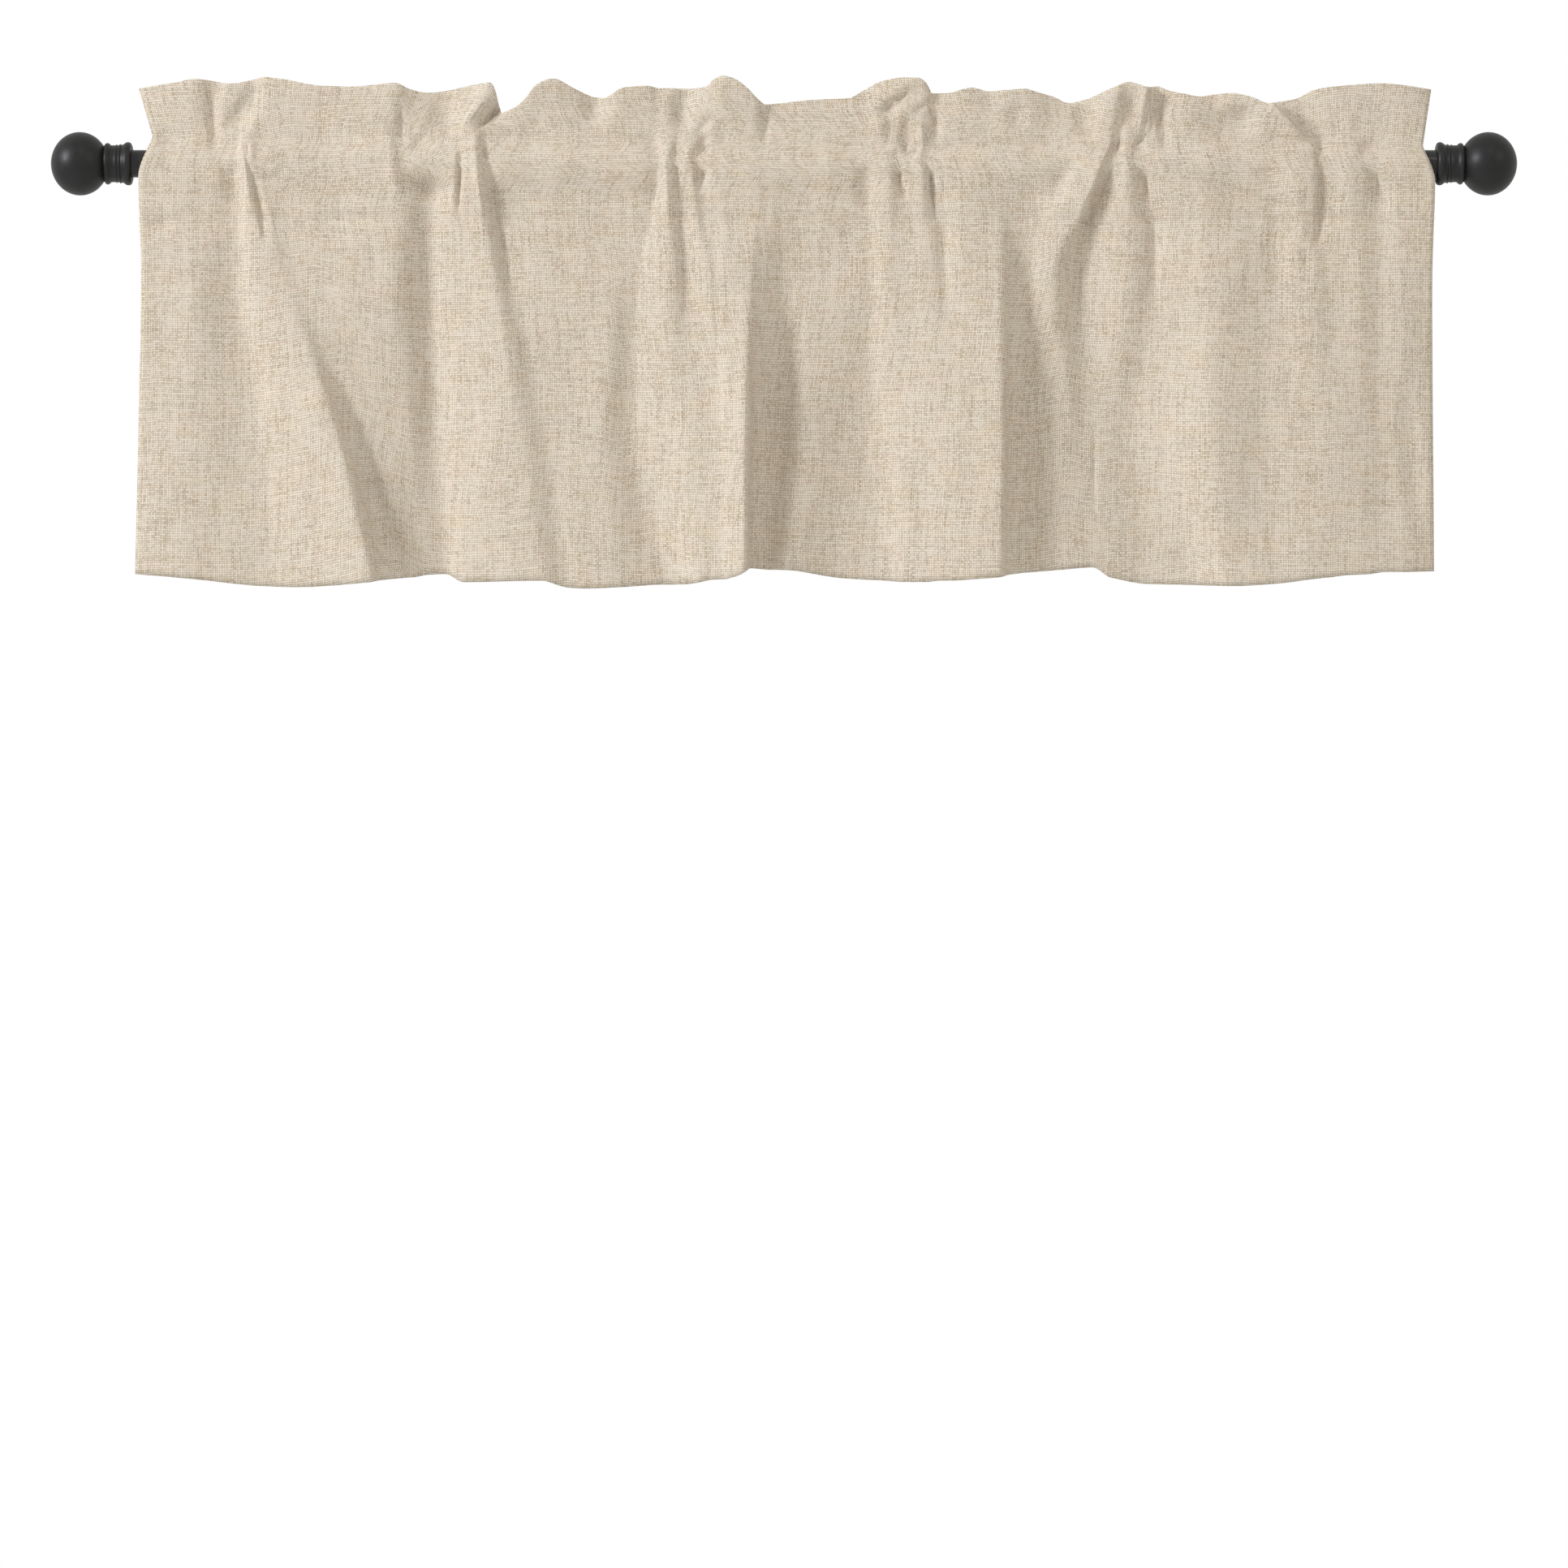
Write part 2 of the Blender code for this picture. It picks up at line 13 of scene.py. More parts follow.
import bmesh
import bpy
import numpy as np
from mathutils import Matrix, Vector


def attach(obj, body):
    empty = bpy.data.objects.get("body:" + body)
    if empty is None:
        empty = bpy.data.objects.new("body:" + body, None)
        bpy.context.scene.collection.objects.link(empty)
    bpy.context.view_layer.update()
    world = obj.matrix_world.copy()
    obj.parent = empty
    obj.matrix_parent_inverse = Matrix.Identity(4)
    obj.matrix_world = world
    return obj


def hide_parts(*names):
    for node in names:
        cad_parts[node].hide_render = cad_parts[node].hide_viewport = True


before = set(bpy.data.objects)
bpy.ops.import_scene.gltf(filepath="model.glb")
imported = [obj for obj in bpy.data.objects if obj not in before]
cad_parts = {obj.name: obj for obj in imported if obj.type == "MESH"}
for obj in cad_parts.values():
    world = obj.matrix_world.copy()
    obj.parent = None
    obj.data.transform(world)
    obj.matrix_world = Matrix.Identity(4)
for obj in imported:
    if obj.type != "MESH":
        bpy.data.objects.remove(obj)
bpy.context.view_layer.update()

MM = 0.001               # the tables below are in millimetres, and Blender works in metres
BODY = "root"            # nothing here moves on a joint, so every piece rides on this one body

# %% [markdown]
# ## The camera
#
# The picture was taken level and from far away, so that both ends of the rod look alike. A long lens does
# that. The rod is near the top of the picture, so the camera stands below it and looks straight ahead.

# %% Camera
CAMERA_PLACE = (0.0, -5.2, -0.574)
LENS, SENSOR = 129.0, 36.0   # mm


def add_object(name, data):
    made = bpy.data.objects.new(name, data)
    bpy.context.scene.collection.objects.link(made)
    return made


camera_data = bpy.data.cameras.new("camera")
camera_data.lens, camera_data.sensor_width = LENS, SENSOR
camera = add_object("camera", camera_data)
camera.location = CAMERA_PLACE
camera.rotation_euler = (math.pi / 2, 0, 0)
bpy.context.scene.camera = camera
bpy.context.scene.view_settings.view_transform = "Standard"
print("camera:", LENS, "mm lens,", -CAMERA_PLACE[1], "m in front of the rod")

# %% [markdown]
# ## The light
#
# Folds only show where the light comes from one side. The main lamp is large, far to the left and cool as
# daylight: it lights every slope that faces left. A weak lamp above and another on the right keep the other
# slopes from going flat. The surroundings are white to the eye, but dimmer and warmer as a source of light,
# or they would wash the folds out.

# %% Lamps, surroundings and floor
KEY_PLACE, KEY_SIZE, KEY_POWER = (-6.6, -3.6, 2.5), 2.0, 436.0
TOP_PLACE, TOP_SIZE, TOP_POWER = (0.9, -4.6, 4.4), 1.6, 18.0
SIDE_PLACE, SIDE_SIZE, SIDE_POWER = (5.2, -4.6, 2.4), 2.0, 34.0
SURROUNDINGS = 0.73
KEY_COLOR, SOURCE_COLOR = (0.96, 0.995, 1.055), (1.012, 1.0, 0.97)   # daylight, and a warmer room
AIM = (0.0, 0.0, -0.15)
FLOOR_HEIGHT, FLOOR_HALF, FLOOR_COLOR = -1.6, 2.0, (0.8, 0.8, 0.79, 1)


def soft_lamp(name, place, size, power, color=(1, 1, 1)):
    data = bpy.data.lights.new(name, "AREA")
    data.shape = "DISK"
    data.size = size
    data.energy = power
    data.color = color
    lamp = add_object(name, data)
    lamp.location = place
    lamp.rotation_euler = (Vector(AIM) - Vector(place)).to_track_quat("-Z", "Y").to_euler()


def pale_world():
    world = bpy.data.worlds.new("pale")
    bpy.context.scene.world = world
    world.use_nodes = True
    nodes, links = world.node_tree.nodes, world.node_tree.links
    seen, source, mix, path = (nodes.new(kind) for kind in (
        "ShaderNodeBackground", "ShaderNodeBackground", "ShaderNodeMixShader", "ShaderNodeLightPath"))
    seen.inputs["Strength"].default_value = 1.0
    source.inputs["Strength"].default_value = SURROUNDINGS
    seen.inputs["Color"].default_value = (1, 1, 1, 1)
    source.inputs["Color"].default_value = (*SOURCE_COLOR, 1)
    links.new(path.outputs["Is Camera Ray"], mix.inputs["Fac"])
    links.new(source.outputs["Background"], mix.inputs[1])
    links.new(seen.outputs["Background"], mix.inputs[2])
    links.new(mix.outputs["Shader"], nodes["World Output"].inputs["Surface"])


def pale_floor():
    corners = ((-1, -1), (1, -1), (1, 1), (-1, 1))
    mesh = bpy.data.meshes.new("floor")
    mesh.from_pydata([(x * FLOOR_HALF, y * FLOOR_HALF, FLOOR_HEIGHT) for x, y in corners], [], [(0, 1, 2, 3)])
    paint = bpy.data.materials.new("floor paint")
    paint.use_nodes = True
    paint.node_tree.nodes["Principled BSDF"].inputs["Base Color"].default_value = FLOOR_COLOR
    mesh.materials.append(paint)
    add_object("floor", mesh)


soft_lamp("key", KEY_PLACE, KEY_SIZE, KEY_POWER, KEY_COLOR)
soft_lamp("top", TOP_PLACE, TOP_SIZE, TOP_POWER)
soft_lamp("side", SIDE_PLACE, SIDE_SIZE, SIDE_POWER)
pale_world()
pale_floor()

# %% [markdown]
# ## The folds as a table
#
# A hung cloth could be made by a simulation, but then its folds fall where they like. Here they have to be
# the folds of one real valance, so they are written down: one row for each crest, valley or foot, with its
# place along the rod at five heights and how far it stands out at four of them. The rim of the header has a
# table of its own, because the header flares and rolls over more than the cloth below. A depth counts from
# the rod's axis towards the room.

# %% Heights and seams
UPPER_SEAM, ROD_FOOT, LOWER_SEAM = 22.0, -15.0, -51.0
UPPER_SKIRT, MIDDLE_SKIRT, HEM = -110.0, -240.0, -385.0
SEAM_DEPTH, ROD_MEAN_DEPTH = 9.5, 12.0   # how far the cloth stands out at the upper seam, and over the rod
SEAM_RELIEF = 0.25                       # share of a fold that is left at the upper seam
SWELL_HEIGHT, SWELL_SHARE = 8.0, 0.72    # where the folds swell out again below it, and how far by then
print("heights from the rod's axis in mm: seams", UPPER_SEAM, "and", LOWER_SEAM, "hem", HEM)

# %% Table of folds
Fold = namedtuple("Fold", "name x_seam x_rod x_upper x_middle x_hem d_rod d_upper d_middle d_hem hem")
FOLDS = [Fold(*row) for row in (
    ("left edge", -583, -596, -594, -596, -599, 12, 9, 10, 12, -380),
    ("left panel", -548, -552, -548, -550, -553, 12, 11, 12, 14, -384),
    ("first valley", -508, -506, -505, -487, -478, 8, 2, 6, 8, -391),
    ("first shoulder", -500, -496, -492, -464, -446, 14, 9, 12, 14, -392),
    ("first ridge", -494, -489, -464, -415, -380, 17, 13, 22, 28, -388),
    ("first slope", -486, -480, -447, -405, -369, 11, 10, 10, 8, -385),
    ("first foot", -474, -470, -428, -391, -353, 9, 9, 5, -4, -383),
    ("second panel", -420, -415, -400, -364, -342, 8, 11, 2, -7, -382),
    ("second edge", -363, -360, -364, -350, -332, 15, 10, 0, -8, -380),
    ("second valley", -340, -326, -326, -322, -314, 6, -4, -9, -11, -379),
    ("lobe start", -314, -307, -298, -301, -296, 13, 3, -2, 1, -387),
    ("second ridge", -286, -281, -268, -246, -224, 18, 11, 9, 9, -386),
    ("third valley", -272, -268, -251, -219, -200, 5, 3, 2, 1, -392),
    ("third panel", -245, -242, -216, -194, -182, 6, 5, 3, 3, -393),
    ("third crest", -200, -195, -162, -170, -158, 6, 6, 4, 4, -392),
    ("fourth valley", -120, -118, -136, -139, -108, 4, 2, -4, -5, -389),
    ("fourth rise", -115, -113, -127, -121, -92, 8, 6, 2, 2, -389),
    ("fourth ridge", -106, -105, -103, -92, -80, 16, 13, 12, 12, -388),
    ("left dart", -97, -92, -86, -78, -71, 9, 10, 14, 14, -386),
    ("dart ridge", -88, -85, -74, -69, -62, 15, 14, 15, 16, -385),
    ("right dart", -77, -77, -67, -60, -55, 10, 15, 17, 19, -385),
    ("middle shoulder", -66, -63, -54, -52, -50, 15, 16, 22, 23, -384),
    ("middle ridge", -32, -27, -33, -35, -37, 13, 17, 28, 28, -379),
    ("middle wall", -17, -12, -21, -27, -30, 9, 11, -4, -3, -374),
    ("middle recess", 0, 4, 2, -6, -16, 8, 1, -12, -10, -375),
    ("recess edge", 20, 24, 22, 19, 3, 8, 1, -2, 3, -376),
    ("fifth panel", 60, 58, 60, 58, 55, 6, 0, -9, -8, -383),
    ("fifth valley", 78, 78, 78, 79, 90, 7, 0, -12, -9, -385),
    ("fifth dart ridge", 102, 98, 97, 106, 118, 15, 9, 0, 3, -387),
    ("fifth dart", 112, 110, 110, 122, 131, 11, 9, 5, 6, -387),
    ("sixth dart ridge", 127, 128, 134, 138, 145, 17, 13, 10, 10, -386),
    ("sixth dart", 139, 144, 153, 155, 157, 9, 12, 15, 13, -386),
    ("sixth panel", 154, 158, 169, 173, 173, 12, 15, 19, 17, -385),
    ("sixth ridge", 195, 195, 200, 200, 200, 8, 17, 23, 21, -383),
    ("sixth slope", 212, 212, 211, 209, 208, 7, 4, 0, 0, -380),
    ("sixth foot", 228, 228, 226, 223, 222, 6, 1, -9, -9, -378),
    ("slanting ridge", 300, 285, 248, 260, 260, 19, 7, -7, -7, -375),
    ("slanting valley", 309, 297, 273, 284, 286, 6, -6, -12, -10, -373),
    ("narrow ridge", 315, 317, 320, 305, 302, 17, 9, -13, -12, -382),
    ("wedge valley", 331, 335, 342, 320, 336, 7, 5, -14, -15, -388),
    ("wedge foot", 346, 351, 361, 342, 374, 11, 9, -8, -12, -389),
    ("seventh ridge", 400, 395, 398, 398, 416, 11, 19, 18, 13, -391),
    ("shallow dip", 432, 438, 450, 447, 452, 12, 12, 11, 13, -389),
    ("right ridge", 486, 487, 487, 494, 505, 18, 18, 17, 14, -383),
    ("right valley", 498, 499, 501, 513, 520, 8, 16, 16, 13, -381),
    ("eighth ridge", 522, 522, 528, 535, 540, 15, 15, 14, 12, -380),
    ("eighth valley", 547, 549, 552, 553, 556, 6, 9, 10, 11, -378),
    ("right panel", 568, 570, 568, 566, 570, 12, 11, 9, 10, -378),
    ("right edge", 590, 601, 599, 600, 601, 12, 8, 3, 5, -377),
)]
print(len(FOLDS), "rows of folds")

# %% Tables of the rim and the upper seam
# place on the upper seam, place at the rim, height of the rim, how far it stands in front of the upper seam
RIM = [
    (-583, -596, 68, -1), (-562, -560, 73, 3), (-550, -545, 76, 4), (-528, -524, 74, -3),
    (-515, -514, 72, 0), (-500, -490, 76, -3), (-493, -480, 78, 0), (-485, -471, 77, 1),
    (-465, -462, 76, 1), (-430, -429, 70, 3), (-400, -400, 69, 2), (-366, -360, 72, 5),
    (-349, -346, 67, -1), (-331, -329, 64, -5), (-319, -312, 66, -7), (-304, -292, 70, -3),
    (-294, -271, 72, 8), (-289, -266, 63, 6), (-282, -264, 53, -5), (-273, -261, 45, -1),
    (-262, -247, 51, 2), (-250, -237, 60, 5), (-241, -229, 70, 7), (-222, -213, 76, 6), (-198, -191, 66, 0),
    (-179, -175, 60, -6), (-168, -166, 59, -3), (-152, -149, 68, 2), (-129, -128, 70, 1),
    (-116, -116, 68, -3), (-107, -107, 68, -3), (-91, -89, 68, -7), (-82, -80, 68, -2), (-76, -71, 69, 3),
    (-70, -65, 75, 6), (-60, -56, 78, 10), (-50, -47, 76, 10), (-38, -35, 68, 8), (-27, -24, 57, 5),
    (-18, -17, 53, -3), (-4, -4, 54, -3), (32, 32, 58, -6), (58, 58, 59, -5), (77, 75, 67, -5),
    (90, 90, 74, 1), (104, 110, 77, 6), (112, 125, 76, 8), (118, 131, 72, 7), (124, 135, 65, 4),
    (132, 136, 63, 2), (140, 142, 63, -1), (151, 152, 63, 1), (174, 174, 68, 3), (188, 188, 65, -1),
    (208, 208, 66, 2), (224, 224, 67, 2), (235, 235, 64, -1), (251, 251, 60, -6), (262, 262, 55, -8),
    (282, 282, 59, -7), (295, 297, 65, 3), (303, 307, 69, 6), (310, 318, 73, 4), (319, 327, 71, 4),
    (325, 335, 68, 8), (332, 339, 69, -3), (342, 346, 70, -5), (355, 355, 66, -2), (372, 372, 62, 1),
    (384, 384, 60, 0), (398, 397, 62, -2), (414, 412, 63, 2), (436, 429, 60, 5), (462, 445, 53, 9),
    (482, 452, 52, 11), (490, 450, 54, -3), (503, 474, 59, -7), (512, 492, 67, -2), (528, 518, 70, 1),
    (552, 551, 72, 2), (575, 575, 70, 1), (590, 598, 67, -3),
]
rim_x_seam, rim_x, rim_height, rim_stand = np.array(RIM, float).T

# place along the rod and height of the upper seam
SEAM_POINTS = [
    (-590, 24), (-300, 25), (-100, 24), (0, 21), (105, 16), (132, 16), (200, 20), (318, 18), (450, 20),
    (600, 15),
]
print(len(RIM), "rows of the rim and", len(SEAM_POINTS), "of the seam")

# %% [markdown]
# ## Smooth curves through the tables
#
# Between the rows of a table the cloth is smooth, but an ordinary spline would swing past the values and
# make bumps that aren't there. A monotone curve never does. It is read along the cloth and not along the
# rod, so that a fold may lean over or double back.

# %% Reading the tables


def monotone(knots, values, at):
    knots, values = np.asarray(knots, float), np.asarray(values, float)
    gap = np.diff(knots)
    slope = np.diff(values) / gap
    before, after = slope[:-1], slope[1:]
    same_way = before * after > 0
    near, far = 2 * gap[1:] + gap[:-1], gap[1:] + 2 * gap[:-1]
    mean = (near + far) / (near / np.where(same_way, before, 1) + far / np.where(same_way, after, 1))
    tangent = np.concatenate([slope[:1], np.where(same_way, mean, 0), slope[-1:]])
    i = np.clip(np.searchsorted(knots, at, side="right") - 1, 0, len(gap) - 1)
    s = np.clip((at - knots[i]) / gap[i], 0, 1)
    start = (1 + 2 * s) * (1 - s) ** 2 * values[i] + s * (1 - s) ** 2 * gap[i] * tangent[i]
    end = s * s * (3 - 2 * s) * values[i + 1] - s * s * (1 - s) * gap[i] * tangent[i + 1]
    return start + end


def fold_lines(height):
    """Place along the rod and depth of every row of the table of folds, at one height."""
    x_levels = -np.array([UPPER_SEAM, ROD_FOOT, UPPER_SKIRT, MIDDLE_SKIRT, HEM])
    depth_levels = -np.array([UPPER_SEAM, SWELL_HEIGHT, ROD_FOOT, UPPER_SKIRT, MIDDLE_SKIRT, HEM])
    x, depth = [], []
    for fold in FOLDS:
        x_knots = [fold.x_seam, fold.x_rod, fold.x_upper, fold.x_middle, fold.x_hem]
        x.append(monotone(x_levels, x_knots, -height))
        seam = SEAM_DEPTH + SEAM_RELIEF * (fold.d_rod - ROD_MEAN_DEPTH)
        swell = seam + SWELL_SHARE * (fold.d_rod - seam)
        depths = [seam, swell, fold.d_rod, fold.d_upper, fold.d_middle, fold.d_hem]
        depth.append(monotone(depth_levels, depths, -height))
    return np.array(x), np.array(depth)


def steps_along(x, depth):
    return np.hypot(np.diff(x), np.diff(depth))


def run_along(x, depth):
    """How far each point of a line lies from its first one, along the line."""
    return np.concatenate([[0], np.cumsum(steps_along(x, depth))])


def cloth_row(height, places):
    """The cloth along one height. A place is a row number in the table of folds, or between rows."""
    x, depth = fold_lines(height)
    run = run_along(x, depth)
    row = np.clip(places.astype(int), 0, len(x) - 2)
    at = run[row] + (places - row) * (run[row + 1] - run[row])
    return monotone(run, x, at), monotone(run, depth, at)


DENSE = np.linspace(0, len(FOLDS) - 1, 100 * len(FOLDS))   # places close enough to search among
seam_row = cloth_row(UPPER_SEAM, DENSE)
print("length of the cloth along the upper seam:", round(run_along(*seam_row)[-1]), "mm")

# %% [markdown]
# ## Columns of points
#
# The sheet is a grid: columns run down the folds, rows run across them. Tight folds need closer columns, so
# each stretch between two rows of the table is cut into at least four steps, and a wide one into more.

# %% Columns
COLUMN_SPACING = 5.0
LEAST_STEPS = 4


def rim_places():
    """The place of every row of the table of the rim, found where it stands on the upper seam."""
    return np.interp(rim_x_seam, seam_row[0], DENSE)


def column_places():
    edges = np.arange(len(FOLDS))
    heights = (UPPER_SEAM, ROD_FOOT, LOWER_SEAM, UPPER_SKIRT, MIDDLE_SKIRT, HEM)
    runs = [steps_along(*fold_lines(height)) for height in heights]
    runs.append(np.diff(np.interp(edges, rim_places(), run_along(rim_x, rim_stand))))
    places = []
    for edge, run in zip(edges, np.max(runs, axis=0)):
        steps = max(LEAST_STEPS, round(run / COLUMN_SPACING))
        places += [edge + step / steps for step in range(steps)]
    return np.array(places + [edges[-1]])


places = column_places()
print(len(places), "columns")

# %% [markdown]
# ## The skirt
#
# The skirt hangs from the lower seam. Its rows are close together under the seam, where the cloth changes
# quickly, and wide apart near the hem. The seam draws the folds back: a little of their depth returns at
# once, and the rest slowly on the way down.

# %% Skirt
SKIRT_STEPS = ((HEM, 6.8), (-150.0, 5.2), (-90.0, 3.0), (LOWER_SEAM, 0.0))   # height, row spacing above it
TUCK_SHARE = 0.5         # how much of a fold's depth the lower seam takes away
TUCK_STEEP, TUCK_REACH, TUCK_LONG = 0.2, 5.0, 32.0   # share that returns at once, and over what heights


def row_heights(steps):
    heights = []
    for (low, spacing), (high, _) in zip(steps, steps[1:]):
        count = round((high - low) / spacing)
        heights += [low + (high - low) * k / count for k in range(count)]
    return heights + [steps[-1][0]]


def tuck(height):
    """How far the lower seam draws the cloth back at a height, column by column."""
    drawn = TUCK_SHARE * np.maximum(cloth_row(LOWER_SEAM, places)[1] - SEAM_DEPTH, 0)
    away = abs(height - LOWER_SEAM)
    if height > LOWER_SEAM:
        return drawn * max(0, 1 - away / (ROD_FOOT - LOWER_SEAM))
    return drawn * (TUCK_STEEP * math.exp(-(away / TUCK_REACH) ** 2)
                    + (1 - TUCK_STEEP) * math.exp(-(away / TUCK_LONG) ** 2))


def skirt_front(heights):
    hem = monotone(np.arange(len(FOLDS)), [fold.hem for fold in FOLDS], places)
    rows = []
    for height in heights:
        x, depth = cloth_row(height, places)
        depth = depth - tuck(height)
        drop = (height - LOWER_SEAM) / (HEM - LOWER_SEAM)
        rows.append(np.stack([x, depth, LOWER_SEAM + drop * (hem - LOWER_SEAM)], 1))
    return np.array(rows)


skirt = skirt_front(row_heights(SKIRT_STEPS))
print("skirt:", len(skirt), "rows")

# %% [markdown]
# ## The pocket
#
# The pocket lies over the rod: it stands out at least as far as the rod, and swings back under it to the
# lower seam. Where the rod and a fold both push the cloth out, the further one wins, and a rounded maximum
# keeps the change soft.

# %% Pocket
ROD_RADIUS, ROD_CLEARANCE, THICKNESS = 12.7, 1.1, 0.8   # the last is that of one layer of cloth
CREST = ROD_RADIUS + ROD_CLEARANCE + THICKNESS / 2      # the middle of the cloth where it lies on the rod
POCKET_ROWS = 26
ROUNDING = 2.5           # mm over which the fold takes over from the rod
DRAWN_TOP, DRAWN_FOOT = -5.0, -40.0   # under the rod the cloth swings back between these heights
SHOULDER = 1.6           # the power that keeps the cloth close over the rod before it goes to the upper seam
SEAM_EASE = 8            # near a seam the rod's push fades, over one part in so many of the pocket's height


def smooth_step(share):
    share = np.clip(share, 0, 1)
    return share * share * (3 - 2 * share)


def over_rod(heights, low, high):
    """Depth of the front layer, which lies over the rod and swings back below it to the lower seam."""
    below = low[0] + (CREST - low[0]) * smooth_step((heights - DRAWN_FOOT) / (DRAWN_TOP - DRAWN_FOOT))
    rise = smooth_step((heights - DRAWN_TOP) / (high[1] - DRAWN_TOP))
    above = CREST - (CREST - high[0]) * rise ** SHOULDER
    return np.where(heights < DRAWN_TOP, np.minimum(below, CREST), above)


def rounded_max(a, b):
    return (a + b + np.sqrt((a - b) ** 2 + ROUNDING ** 2)) / 2


def pocket_front(seam_line, low_line):
    rows = []
    for share in np.linspace(0, 1, POCKET_ROWS + 1)[1:-1]:
        level = LOWER_SEAM + share * (UPPER_SEAM - LOWER_SEAM)
        x, depth = cloth_row(level, places)
        depth = depth - tuck(level)
        heights = LOWER_SEAM + share * (seam_line[:, 2] - LOWER_SEAM)
        hung = over_rod(heights, low_line[:, 1:].T, seam_line[:, 1:].T)
        near_end = min(1, SEAM_EASE * min(share, 1 - share))
        depth = depth + near_end * (rounded_max(depth, hung) - depth)
        rows.append(np.stack([x, depth, heights], 1))
    return np.array(rows)


seam_x, seam_depth = cloth_row(UPPER_SEAM, places)
seam_line = np.stack([seam_x, seam_depth, np.interp(seam_x, *np.array(SEAM_POINTS, float).T)], 1)
pocket = pocket_front(seam_line, skirt[-1])
print("pocket:", len(pocket), "rows")

# %% [markdown]
# ## The header
#
# The header stands above the upper seam. Each of its columns is straight and leans the way the table of the
# rim says, so that the rim waves more than the seam. The creases come after.

# %% Header
HEADER_ROWS = 14


def header_front(seam_line):
    at = rim_places()
    x, height, stand = (monotone(at, column, places) for column in (rim_x, rim_height, rim_stand))
    rim = np.stack([x, SEAM_DEPTH + stand, height], 1)
    steps = range(1, HEADER_ROWS + 1)
    return np.array([seam_line + (rim - seam_line) * step / HEADER_ROWS for step in steps])


header = header_front(seam_line)
front = np.concatenate([skirt, pocket, [seam_line], header])
LOWER_SEAM_ROW, UPPER_SEAM_ROW = len(skirt) - 1, len(skirt) + len(pocket)
print("front:", front.shape[0], "rows of", front.shape[1], "points")
